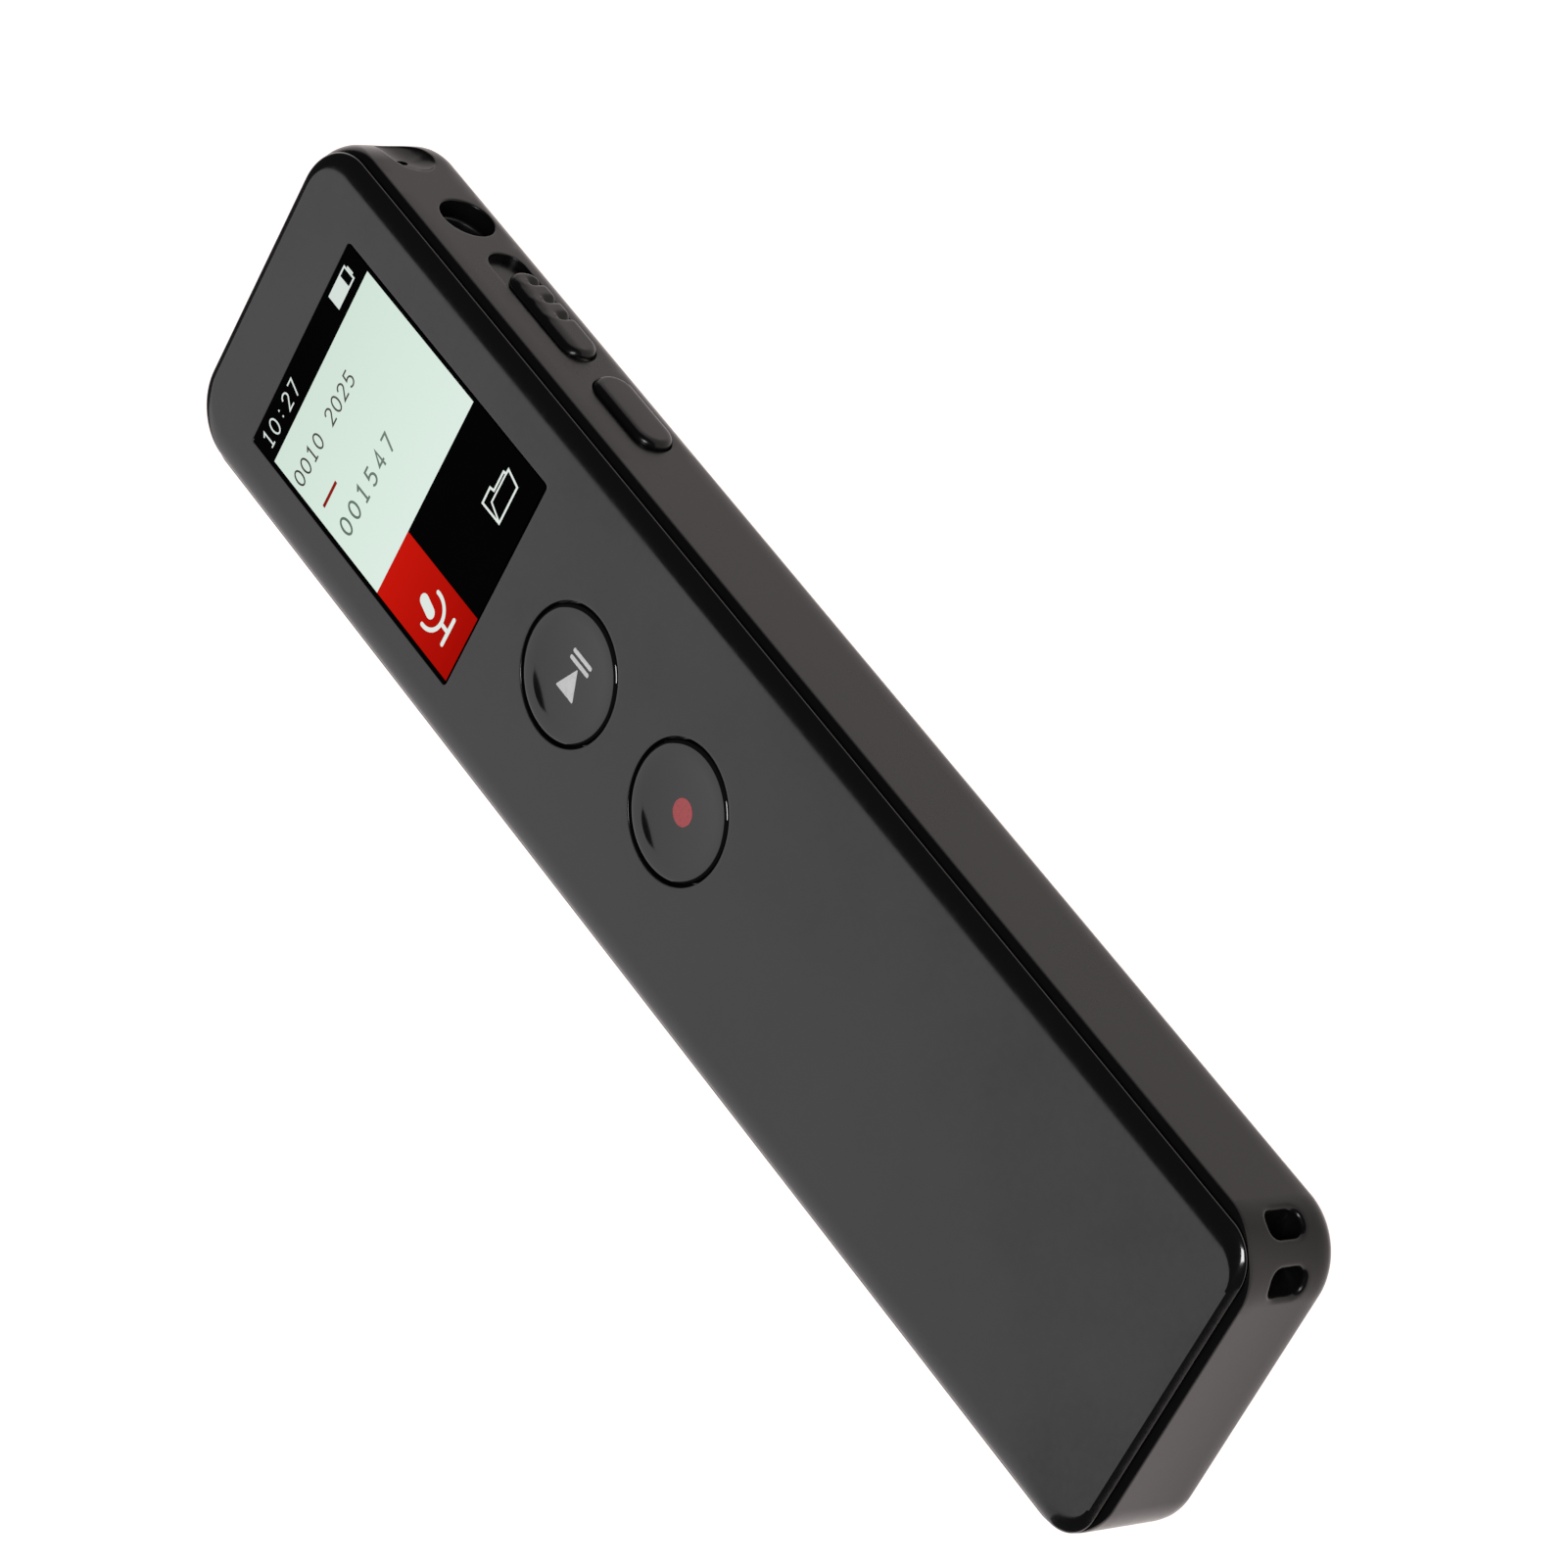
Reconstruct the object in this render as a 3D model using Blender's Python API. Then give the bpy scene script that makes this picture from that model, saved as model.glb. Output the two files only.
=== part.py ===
# Handheld voice recorder, lying on its back with the screen facing up.
# Metres, +Z out of the front face, +Y towards the top end, origin under the middle of the back face.

import math

import bmesh
import bpy

MM = 0.001

# Body
BODY_WIDTH = 24.0 * MM
BODY_LENGTH = 102.5 * MM
BODY_THICKNESS = 8.0 * MM
BACK_WALL = 0.9 * MM
RIM_WIDTH = 0.7 * MM
BACK_EDGE_RADIUS = 1.5 * MM
TOP_CORNER_RADIUS = 4.8 * MM
BOTTOM_CORNER_RADIUS = 4.2 * MM
SIDE_SHOULDER = 0.5 * MM          # how far the rim is set in from the side walls
BOTTOM_SHOULDER = 0.5 * MM
TOP_SHOULDER = 0.8 * MM
SIDE_SHOULDER_DROP = 0.4 * MM
TOP_SHOULDER_DROP = 1.8 * MM
RIM_TOP_CORNER_RADIUS = 3.8 * MM
RIM_BOTTOM_CORNER_RADIUS = 2.6 * MM

# Clearances
GAP = 0.3 * MM                    # between pieces that move or are cut by each other
FIT = 0.15 * MM                   # between pieces that are glued or stacked
SEAM = 0.12 * MM                  # parting line between the cover and the shell

# Front cover
COVER_RISE = 0.5 * MM             # height of the cover above the parting line
COVER_PLATE = 0.8 * MM
COVER_SIDE_CURVE = 1.52 * MM      # width of the curved long edges
COVER_BOTTOM_CURVE = 0.22 * MM
COVER_TOP_CURVE = 0.6 * MM
COVER_FLAT_TOP_RADIUS = 2.2 * MM
COVER_FLAT_BOTTOM_RADIUS = 1.4 * MM
COVER_LIP_DEPTH = 0.3 * MM
COVER_LIP_WIDTH = 0.8 * MM

# Screen
SCREEN_WIDTH = 15.8 * MM
SCREEN_LENGTH = 24.1 * MM
SCREEN_CORNER_RADIUS = 0.35 * MM
SCREEN_FROM_TOP = 6.85 * MM       # from the top end to the near edge of the screen
SCREEN_OFFSET = -0.6 * MM
LCD_MARGIN = 0.9 * MM
LCD_DRIVER_MARGIN = 1.6 * MM
LCD_FRAME_THICKNESS = 1.1 * MM
LCD_FRAME_FLOOR = 0.35 * MM
LCD_FRAME_WALL = 0.4 * MM
LCD_PANEL_THICKNESS = 0.6 * MM
GASKET_THICKNESS = 0.2 * MM
GASKET_WIDTH = 0.7 * MM
FLEX_WIDTH = 8.0 * MM
FLEX_THICKNESS = 0.15 * MM
FLEX_TAIL = 2.4 * MM

# Front keys
KEY_HOLE_RADIUS = 4.4 * MM
KEY_FLANGE_OVERLAP = 0.5 * MM
KEY_FLANGE_THICKNESS = 0.5 * MM
KEY_DISH = 0.15 * MM
KEY_TRAVEL = 0.3 * MM
KEY_STEM_RADIUS = 1.5 * MM
KEY_STEM_LENGTH = 0.2 * MM
FRONT_KEY_OFFSET = -0.4 * MM
PLAY_KEY_FROM_TOP = 39.35 * MM
RECORD_KEY_FROM_TOP = 51.85 * MM

# Tactile switches
SWITCH_SIZE = 4.0 * MM
SWITCH_HEIGHT = 0.7 * MM
PLUNGER_RADIUS = 0.8 * MM

# Side controls
SIDE_CONTROL_HEIGHT = 3.25 * MM   # of their middle line above the back face
SIDE_PROUD = 0.5 * MM
SIDE_KEY_LENGTH = 6.8 * MM
SIDE_KEY_WIDTH = 2.8 * MM
SIDE_KEY_TRAVEL = 0.3 * MM
SIDE_FLANGE_OVERLAP = 0.55 * MM
SIDE_FLANGE_THICKNESS = 0.6 * MM
MENU_KEY_FROM_TOP = 30.05 * MM
NEXT_KEY_FROM_TOP = 20.3 * MM
PREVIOUS_KEY_FROM_TOP = 30.05 * MM
SIDE_SWITCH_LENGTH = 4.2 * MM
SIDE_SWITCH_DEPTH = 2.2 * MM
SIDE_SWITCH_HEIGHT = 1.9 * MM
SIDE_PLUNGER_RADIUS = 0.5 * MM

# Hold slider
SLIDER_LENGTH = 8.2 * MM
SLIDER_WIDTH = 2.5 * MM
SLIDER_TRAVEL = 2.2 * MM
SLIDER_LOW_FROM_TOP = 24.85 * MM  # from the top end to the low end of the slot
SLIDER_GROOVES = 3
SLIDER_GROOVE_PITCH = 1.7 * MM
SLIDER_GROOVE_WIDTH = 0.5 * MM
SLIDER_GROOVE_DEPTH = 0.3 * MM
LEVER_WIDTH = 1.2 * MM
LEVER_LENGTH = 2.2 * MM
HOLD_SWITCH_DEPTH = 2.6 * MM

# Headphone jack
JACK_BORE = 3.6 * MM
JACK_HOLE = 3.7 * MM
JACK_FROM_TOP = 10.55 * MM
JACK_HEIGHT = 3.3 * MM
JACK_BODY_WIDTH = 5.8 * MM
JACK_BODY_HEIGHT = 4.2 * MM
JACK_BODY_LENGTH = 11.4 * MM
JACK_BORE_DEPTH = 10.6 * MM

# Charging port
PORT_WIDTH = 8.9 * MM
PORT_HEIGHT = 3.2 * MM
PORT_DEPTH = 7.0 * MM
PORT_WALL = 0.3 * MM
PORT_TONGUE_WIDTH = 6.6 * MM
PORT_TONGUE_THICKNESS = 0.7 * MM
PORT_TONGUE_LENGTH = 5.4 * MM
PORT_LEVEL = 3.7 * MM
PORT_SET_BACK = 0.4 * MM

# Microphones
MIC_RADIUS = 1.5 * MM
MIC_LENGTH = 1.3 * MM
MIC_LEVEL = 3.6 * MM
MIC_ANGLE = math.radians(12)
MIC_BOOT_WALL = 0.35 * MM
MIC_BOWL_RADIUS = 1.85 * MM
MIC_BOWL_DEPTH = 0.65 * MM
MIC_PORT_RADIUS = 0.5 * MM

# Lanyard tunnel
LANYARD_HEIGHT = 2.8 * MM
LANYARD_WIDTH = 1.75 * MM
LANYARD_INSET = 2.0 * MM          # from the side wall to the tunnel of the end hole
LANYARD_RISE = 1.75 * MM          # from the end wall to the tunnel of the side hole
LANYARD_WALL = 1.2 * MM

# Circuit board
BOARD_THICKNESS = 0.8 * MM
BOARD_LEVEL = 4.2 * MM
BOARD_TOP_FROM_TOP = 8.25 * MM
BOARD_BELOW_RECORD_KEY = 5.6 * MM
PROCESSOR_SIZE = (7.0 * MM, 7.0 * MM, 0.9 * MM)
PROCESSOR_BELOW_PLAY_KEY = 1.5 * MM
MEMORY_SIZE = (8.0 * MM, 5.0 * MM, 0.8 * MM)
MEMORY_ABOVE_RECORD_KEY = 0.5 * MM
CHARGER_SIZE = (3.0 * MM, 3.0 * MM, 0.7 * MM)
CHARGER_X = -6.6 * MM
CRYSTAL_SIZE = (3.2 * MM, 1.5 * MM, 0.8 * MM)
CRYSTAL_ABOVE_PLAY_KEY = 4.6 * MM

# Speaker
SPEAKER_WIDTH = 15.0 * MM
SPEAKER_LENGTH = 11.0 * MM
SPEAKER_HEIGHT = 2.8 * MM
SPEAKER_FRAME_WALL = 1.0 * MM
SPEAKER_GASKET = 0.3 * MM
DIAPHRAGM_THICKNESS = 0.2 * MM
MAGNET_THICKNESS = 1.3 * MM
SPEAKER_CORNER = 2.0 * MM
SPEAKER_OPENING_CORNER = 1.5 * MM
DIAPHRAGM_CORNER = 1.4 * MM
MAGNET_CORNER = 1.2 * MM
GRILLE_SLOTS = 5
GRILLE_SLOT_WIDTH = 0.8 * MM
GRILLE_SLOT_LENGTH = 7.0 * MM
GRILLE_PITCH = 2.0 * MM

# Battery
BATTERY_THICKNESS = 4.6 * MM
BATTERY_TAPE = 0.3 * MM
BATTERY_TAPE_INSET = 2.0 * MM
BATTERY_CORNER = 1.0 * MM
PROTECTION_BOARD_THICKNESS = 0.6 * MM
PROTECTION_BOARD_HEIGHT = 3.6 * MM
PROTECTION_BOARD_WIDTH = 14.0 * MM
LEAD_RADIUS = 0.35 * MM
LEAD_PITCH = 1.4 * MM
LEAD_OVER_BOARD = 1.4 * MM        # how far the leads reach over the end of the board
SPEAKER_BELOW_BOARD = 1.1 * MM

# Screws
SCREW_SHANK_RADIUS = 0.6 * MM
SCREW_HEAD_RADIUS = 1.15 * MM
SCREW_HEAD_HEIGHT = 0.6 * MM
SCREW_CLEARANCE = 0.2 * MM
SCREW_SET_IN = 0.2 * MM
POST_WALL = 0.7 * MM
CASE_SCREW_LENGTH = 4.6 * MM
CASE_SCREW_FROM_END = 3.95 * MM
CASE_SCREW_X = (-7.4 * MM, 1.2 * MM)
BOARD_SCREW_LENGTH = 3.2 * MM
BOARD_SCREW_FROM_TOP = (54.8 * MM, 36.9 * MM)
BOARD_SCREW_X = (-7.1 * MM, 7.1 * MM)

# Places that follow from the sizes above
TOP_END = BODY_LENGTH / 2
BOTTOM_END = -BODY_LENGTH / 2
SIDE = BODY_WIDTH / 2
RIM_SIDE = SIDE - SIDE_SHOULDER
RIM_BOTTOM = BOTTOM_END + BOTTOM_SHOULDER
RIM_TOP = TOP_END - TOP_SHOULDER
INNER_SIDE = RIM_SIDE - RIM_WIDTH
INNER_BOTTOM = RIM_BOTTOM + RIM_WIDTH
INNER_TOP = RIM_TOP - RIM_WIDTH
PARTING_LEVEL = BODY_THICKNESS - COVER_RISE
RIM_LEVEL = PARTING_LEVEL - SEAM
COVER_UNDERSIDE = BODY_THICKNESS - COVER_PLATE
LIP_LEVEL = COVER_UNDERSIDE - COVER_LIP_DEPTH
BOARD_TOP = BOARD_LEVEL + BOARD_THICKNESS
SIDE_FLANGE_OUT = INNER_SIDE - GAP
SIDE_FLANGE_IN = SIDE_FLANGE_OUT - SIDE_FLANGE_THICKNESS
BOARD_SIDE = SIDE_FLANGE_IN - SIDE_KEY_TRAVEL - FIT
SCREEN_Y = TOP_END - SCREEN_FROM_TOP - SCREEN_LENGTH / 2
PLAY_KEY_Y = TOP_END - PLAY_KEY_FROM_TOP
RECORD_KEY_Y = TOP_END - RECORD_KEY_FROM_TOP
BOARD_BOTTOM_Y = RECORD_KEY_Y - BOARD_BELOW_RECORD_KEY
BOARD_TOP_Y = TOP_END - BOARD_TOP_FROM_TOP
JACK_Y = TOP_END - JACK_FROM_TOP
JACK_END = INNER_SIDE - FIT
JACK_INNER_END = JACK_END - JACK_BODY_LENGTH
KEY_RADIUS = KEY_HOLE_RADIUS - GAP
KEY_FLANGE_TOP = COVER_UNDERSIDE - FIT
KEY_FLANGE_LOW = KEY_FLANGE_TOP - KEY_FLANGE_THICKNESS
KEY_STEM_LOW = KEY_FLANGE_LOW - KEY_STEM_LENGTH
SLIDER_SLOT_LENGTH = SLIDER_LENGTH + SLIDER_TRAVEL + 2 * FIT
SLIDER_SLOT_WIDTH = SLIDER_WIDTH + 2 * GAP
SLIDER_SLOT_Y = TOP_END - SLIDER_LOW_FROM_TOP + SLIDER_SLOT_LENGTH / 2
SLIDER_Y = TOP_END - SLIDER_LOW_FROM_TOP + FIT + SLIDER_LENGTH / 2
SPEAKER_Y = BOARD_BOTTOM_Y - SPEAKER_BELOW_BOARD - SPEAKER_LENGTH / 2
PROTECTION_BOARD_Y = SPEAKER_Y - SPEAKER_LENGTH / 2 - GAP - PROTECTION_BOARD_THICKNESS / 2
BATTERY_TOP_Y = PROTECTION_BOARD_Y - PROTECTION_BOARD_THICKNESS / 2 - GAP
CASE_SCREW_Y = BOTTOM_END + CASE_SCREW_FROM_END
POST_RADIUS = SCREW_SHANK_RADIUS + SCREW_CLEARANCE + POST_WALL
BATTERY_BOTTOM_Y = CASE_SCREW_Y + SCREW_HEAD_RADIUS + SCREW_CLEARANCE + POST_WALL + GAP
SCREEN_TOP_OF_LCD = COVER_UNDERSIDE - FIT - GASKET_THICKNESS
SPEAKER_LOW = BACK_WALL + FIT + SPEAKER_GASKET + FIT
BATTERY_LOW = BACK_WALL + FIT + BATTERY_TAPE + FIT


# Scene and materials

def clear_scene():
    for obj in list(bpy.data.objects):
        bpy.data.objects.remove(obj, do_unlink=True)


def make_material(name, color, roughness, metallic=0.0):
    material = bpy.data.materials.new(name)
    material.use_nodes = True
    shader = material.node_tree.nodes["Principled BSDF"]
    shader.inputs["Base Color"].default_value = (*color, 1.0)
    shader.inputs["Roughness"].default_value = roughness
    shader.inputs["Metallic"].default_value = metallic
    material.diffuse_color = (*color, 1.0)
    return material


# Outlines, as lists of 2D points

def arc_points(center, radius, start, end, steps):
    points = []
    for step in range(steps + 1):
        angle = start + (end - start) * step / steps
        points.append((center[0] + radius * math.cos(angle), center[1] + radius * math.sin(angle)))
    return points


def body_outline(side, bottom, top, bottom_radius, top_radius, steps=6):
    quarter = math.pi / 2
    corners = (
        ((side - top_radius, top - top_radius), top_radius, 0),
        ((-side + top_radius, top - top_radius), top_radius, 1),
        ((-side + bottom_radius, bottom + bottom_radius), bottom_radius, 2),
        ((side - bottom_radius, bottom + bottom_radius), bottom_radius, 3),
    )
    points = []
    for center, radius, turn in corners:
        points += arc_points(center, radius, turn * quarter, (turn + 1) * quarter, steps)
    return points


def rounded_rectangle(width, height, radius, steps=3):
    return body_outline(width / 2, -height / 2, height / 2, radius, radius, steps)


def rectangle(width, height):
    x = width / 2
    y = height / 2
    return [(x, y), (-x, y), (-x, -y), (x, -y)]


def pill(length, width, steps=6):
    radius = width / 2
    reach = length / 2 - radius
    right = arc_points((reach, 0), radius, -math.pi / 2, math.pi / 2, steps)
    left = arc_points((-reach, 0), radius, math.pi / 2, 3 * math.pi / 2, steps)
    return right + left


def circle(radius, steps=24):
    return arc_points((0, 0), radius, 0, 2 * math.pi * (steps - 1) / steps, steps - 1)


# Solids, built about their own origin

def link_mesh(name, mesh_builder, material, location):
    mesh = bpy.data.meshes.new(name)
    bmesh.ops.recalc_face_normals(mesh_builder, faces=mesh_builder.faces)
    mesh_builder.to_mesh(mesh)
    mesh_builder.free()
    obj = bpy.data.objects.new(name, mesh)
    bpy.context.scene.collection.objects.link(obj)
    obj.location = location
    if material:
        mesh.materials.append(material)
    return obj


def loft(name, rings, material, location=(0, 0, 0)):
    # Joins rings of the same number of points, and closes the first and the last.
    builder = bmesh.new()
    rows = [[builder.verts.new(point) for point in ring] for ring in rings]
    count = len(rows[0])
    for low, high in zip(rows, rows[1:]):
        for i in range(count):
            j = (i + 1) % count
            builder.faces.new((low[i], low[j], high[j], high[i]))
    builder.faces.new(rows[0])
    builder.faces.new(rows[-1])
    return link_mesh(name, builder, material, location)


def to_axis(u, v, w, axis):
    # Turns a point of an outline, with its depth w, so that the depth runs along the axis.
    return {"X": (w, u, v), "Y": (u, w, v), "Z": (u, v, w)}[axis]


def prism(name, outline, depth, axis, location, material=None):
    rings = [[to_axis(u, v, w, axis) for u, v in outline] for w in (-depth / 2, depth / 2)]
    return loft(name, rings, material, location)


def block(name, size, location, material=None):
    return prism(name, rectangle(size[0], size[1]), size[2], "Z", location, material)


def turned(name, profile, location, material=None, axis="Z", steps=24, smooth=True):
    # Turns (radius, depth) points round the axis. A profile that starts and ends on the axis is
    # closed there, and one that stays clear of it is closed back on itself.
    builder = bmesh.new()
    rows = []
    for radius, depth in profile:
        if radius == 0:
            rows.append([builder.verts.new(to_axis(0, 0, depth, axis))])
            continue
        ring = circle(radius, steps)
        rows.append([builder.verts.new(to_axis(u, v, depth, axis)) for u, v in ring])
    pairs = list(zip(rows, rows[1:]))
    if profile[0][0] != 0:
        pairs.append((rows[-1], rows[0]))
    for first, second in pairs:
        for i in range(steps):
            j = (i + 1) % steps
            corners = []
            for vertex in (first[i % len(first)], first[j % len(first)],
                           second[j % len(second)], second[i % len(second)]):
                if vertex not in corners:
                    corners.append(vertex)
            builder.faces.new(corners)
    obj = link_mesh(name, builder, material, location)
    if smooth:
        obj.data.shade_smooth()
        obj.data.set_sharp_from_angle(angle=math.radians(30))
    return obj


def cylinder(name, radius, depth, location, material=None, axis="Z", steps=24):
    half = depth / 2
    profile = [(0, half), (radius, half), (radius, -half), (0, -half)]
    return turned(name, profile, location, material, axis, steps)


def tube_along(name, points, radius, material):
    curve = bpy.data.curves.new(name, "CURVE")
    curve.dimensions = "3D"
    curve.bevel_depth = radius
    curve.bevel_resolution = 1
    curve.use_fill_caps = True
    spline = curve.splines.new("POLY")
    spline.points.add(len(points) - 1)
    for spot, point in zip(spline.points, points):
        spot.co = (*point, 1)
    obj = bpy.data.objects.new(name, curve)
    bpy.context.scene.collection.objects.link(obj)
    curve.materials.append(material)
    return obj


def boolean(obj, other, operation):
    modifier = obj.modifiers.new(other.name, "BOOLEAN")
    modifier.object = other
    modifier.operation = operation
    other.hide_render = True
    other.display_type = "WIRE"


def cut(obj, cutter):
    boolean(obj, cutter, "DIFFERENCE")


def add(obj, piece):
    boolean(obj, piece, "UNION")


def flat(outline, level):
    return [(x, y, level) for x, y in outline]


# Outlines of the body

def wall_outline(inset=0.0):
    return body_outline(
        SIDE - inset, BOTTOM_END + inset, TOP_END - inset,
        BOTTOM_CORNER_RADIUS - inset, TOP_CORNER_RADIUS - inset,
    )


def rim_outline(inset=0.0):
    return body_outline(
        RIM_SIDE - inset, RIM_BOTTOM + inset, RIM_TOP - inset,
        RIM_BOTTOM_CORNER_RADIUS - inset, RIM_TOP_CORNER_RADIUS - inset,
    )


def cover_flat_outline():
    return body_outline(
        RIM_SIDE - COVER_SIDE_CURVE, RIM_BOTTOM + COVER_BOTTOM_CURVE, RIM_TOP - COVER_TOP_CURVE,
        COVER_FLAT_BOTTOM_RADIUS, COVER_FLAT_TOP_RADIUS,
    )


def shoulder_drop(y):
    # The shoulder is deeper round the top end than along the sides.
    start = TOP_END - TOP_CORNER_RADIUS
    share = min(max((y - start) / TOP_CORNER_RADIUS, 0.0), 1.0)
    share = share * share * (3 - 2 * share)
    return SIDE_SHOULDER_DROP + (TOP_SHOULDER_DROP - SIDE_SHOULDER_DROP) * share


# Rear shell

def make_shell(plastic):
    rings = []
    steps = 4
    for step in range(steps + 1):
        angle = math.pi / 2 * step / steps
        inset = BACK_EDGE_RADIUS * (1 - math.sin(angle))
        level = BACK_EDGE_RADIUS * (1 - math.cos(angle))
        rings.append(flat(wall_outline(inset), level))
    steps = 3
    for step in range(steps + 1):
        angle = math.pi / 2 * (1 - step / steps)
        ring = []
        for rim, wall in zip(rim_outline(), wall_outline()):
            out = math.sin(angle)
            x = rim[0] + (wall[0] - rim[0]) * out
            y = rim[1] + (wall[1] - rim[1]) * out
            ring.append((x, y, RIM_LEVEL - shoulder_drop(wall[1]) * (1 - math.cos(angle))))
        rings.append(ring)
    rings.append(flat(rim_outline(RIM_WIDTH), RIM_LEVEL))
    rings.append(flat(rim_outline(RIM_WIDTH), BACK_WALL))
    shell = loft("rear_shell", rings, plastic)
    add_shell_posts(shell)
    cut_side_openings(shell)
    cut_end_openings(shell)
    cut_back_openings(shell)
    shell.data.shade_smooth()
    shell.data.set_sharp_from_angle(angle=math.radians(30))
    return shell


def add_shell_posts(shell):
    into_floor = BACK_WALL / 2
    top = BOARD_LEVEL - FIT
    for number, (x, from_top) in enumerate(zip(BOARD_SCREW_X, BOARD_SCREW_FROM_TOP), 1):
        y = TOP_END - from_top
        height = top - into_floor
        post = cylinder(f"board_post_{number}", POST_RADIUS, height, (x, y, into_floor + height / 2))
        add(shell, post)
    # Seats for the case screws' heads
    radius = SCREW_HEAD_RADIUS + SCREW_CLEARANCE + POST_WALL
    height = case_screw_seat() + POST_WALL - into_floor
    for number, x in enumerate(CASE_SCREW_X, 1):
        place = (x, CASE_SCREW_Y, into_floor + height / 2)
        seat = cylinder(f"screw_seat_{number}", radius, height, place)
        add(shell, seat)
    # Solid corner that the lanyard tunnel goes through
    radius = RIM_BOTTOM_CORNER_RADIUS - RIM_WIDTH
    overlap = RIM_WIDTH / 2
    center = (INNER_SIDE - radius, INNER_BOTTOM + radius)
    inner_x = SIDE - LANYARD_INSET - LANYARD_WIDTH - LANYARD_WALL
    inner_y = BOTTOM_END + LANYARD_RISE + LANYARD_WIDTH + LANYARD_WALL
    outline = arc_points(center, radius + overlap, -math.pi / 2, 0, 4)
    outline += [(INNER_SIDE + overlap, inner_y), (inner_x, inner_y), (inner_x, INNER_BOTTOM - overlap)]
    low = into_floor
    high = LIP_LEVEL - FIT
    corner = prism("lanyard_corner", outline, high - low, "Z", (0, 0, (low + high) / 2))
    add(shell, corner)


def case_screw_seat():
    return SCREW_SET_IN + SCREW_HEAD_HEIGHT + FIT


def cut_side_openings(shell):
    reach = SIDE - INNER_SIDE + 2 * GAP
    middle = (SIDE + INNER_SIDE) / 2
    jack = prism("jack_hole", circle(JACK_HOLE / 2, 24), reach, "X", (middle, JACK_Y, JACK_HEIGHT))
    cut(shell, jack)
    slot = prism(
        "slider_slot", pill(SLIDER_SLOT_LENGTH, SLIDER_SLOT_WIDTH), reach, "X",
        (middle, SLIDER_SLOT_Y, SIDE_CONTROL_HEIGHT),
    )
    cut(shell, slot)
    for name, side, from_top in SIDE_KEYS:
        outline = pill(SIDE_KEY_LENGTH + 2 * FIT, SIDE_KEY_WIDTH + 2 * FIT)
        place = (side * middle, TOP_END - from_top, SIDE_CONTROL_HEIGHT)
        cut(shell, prism(name + "_slot", outline, reach, "X", place))


def cut_end_openings(shell):
    reach = TOP_END - INNER_TOP + 2 * GAP
    middle = (TOP_END + INNER_TOP) / 2
    outline = pill(PORT_WIDTH + 2 * FIT, PORT_HEIGHT + 2 * FIT)
    cut(shell, prism("port_opening", outline, reach, "Y", (0, middle, PORT_LEVEL)))
    # Lanyard tunnel: one leg from the side wall, one from the end wall
    level = BODY_THICKNESS / 2
    leg_x = SIDE - LANYARD_INSET - LANYARD_WIDTH / 2
    leg_y = BOTTOM_END + LANYARD_RISE + LANYARD_WIDTH / 2
    outline = rounded_rectangle(LANYARD_WIDTH, LANYARD_HEIGHT, LANYARD_WIDTH * 0.3)
    inner_x = leg_x - LANYARD_WIDTH / 2
    outer_x = SIDE + GAP
    place = ((inner_x + outer_x) / 2, leg_y, level)
    side_leg = prism("lanyard_side_leg", outline, outer_x - inner_x, "X", place)
    cut(shell, side_leg)
    inner_y = leg_y + LANYARD_WIDTH / 2
    outer_y = BOTTOM_END - GAP
    place = (leg_x, (inner_y + outer_y) / 2, level)
    end_leg = prism("lanyard_end_leg", outline, inner_y - outer_y, "Y", place)
    cut(shell, end_leg)
    # Microphone bowls and ports in the top corners
    for side in (1, -1):
        tag = "right" if side > 0 else "left"
        bowl_radius = (MIC_BOWL_RADIUS ** 2 + MIC_BOWL_DEPTH ** 2) / (2 * MIC_BOWL_DEPTH)
        middle = TOP_CORNER_RADIUS - MIC_BOWL_DEPTH + bowl_radius
        bowl = sphere("mic_bowl_" + tag, bowl_radius, mic_place(side, middle))
        cut(shell, bowl)
        port = cylinder("mic_port_" + tag, MIC_PORT_RADIUS, TOP_CORNER_RADIUS, (0, 0, 0), None, "X", 12)
        port.location = mic_place(side, TOP_CORNER_RADIUS)
        port.rotation_euler = (0, 0, mic_turn(side))
        cut(shell, port)


def cut_back_openings(shell):
    for number in range(GRILLE_SLOTS):
        x = (number - (GRILLE_SLOTS - 1) / 2) * GRILLE_PITCH
        outline = [(v, u) for u, v in pill(GRILLE_SLOT_LENGTH, GRILLE_SLOT_WIDTH, 4)]
        place = (x, SPEAKER_Y, BACK_WALL / 2)
        slot = prism(f"grille_slot_{number + 1}", outline, 2 * BACK_WALL, "Z", place)
        cut(shell, slot)
    for number, x in enumerate(CASE_SCREW_X, 1):
        depth = case_screw_seat()
        radius = SCREW_HEAD_RADIUS + SCREW_CLEARANCE
        head = cylinder(f"head_pocket_{number}", radius, 2 * depth, (x, CASE_SCREW_Y, 0))
        cut(shell, head)
        radius = SCREW_SHANK_RADIUS + SCREW_CLEARANCE
        place = (x, CASE_SCREW_Y, depth)
        shank = cylinder(f"shank_hole_{number}", radius, 3 * depth, place, None, "Z", 16)
        cut(shell, shank)
    for number, (x, from_top) in enumerate(zip(BOARD_SCREW_X, BOARD_SCREW_FROM_TOP), 1):
        top = BOARD_LEVEL
        low = board_screw_tip() - GAP
        radius = SCREW_SHANK_RADIUS + SCREW_CLEARANCE
        place = (x, TOP_END - from_top, (top + low) / 2)
        bore = cylinder(f"post_bore_{number}", radius, top - low, place, None, "Z", 16)
        cut(shell, bore)


def sphere(name, radius, location):
    builder = bmesh.new()
    bmesh.ops.create_icosphere(builder, subdivisions=3, radius=radius)
    return link_mesh(name, builder, None, location)


def mic_turn(side):
    return MIC_ANGLE if side > 0 else math.pi - MIC_ANGLE


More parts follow.
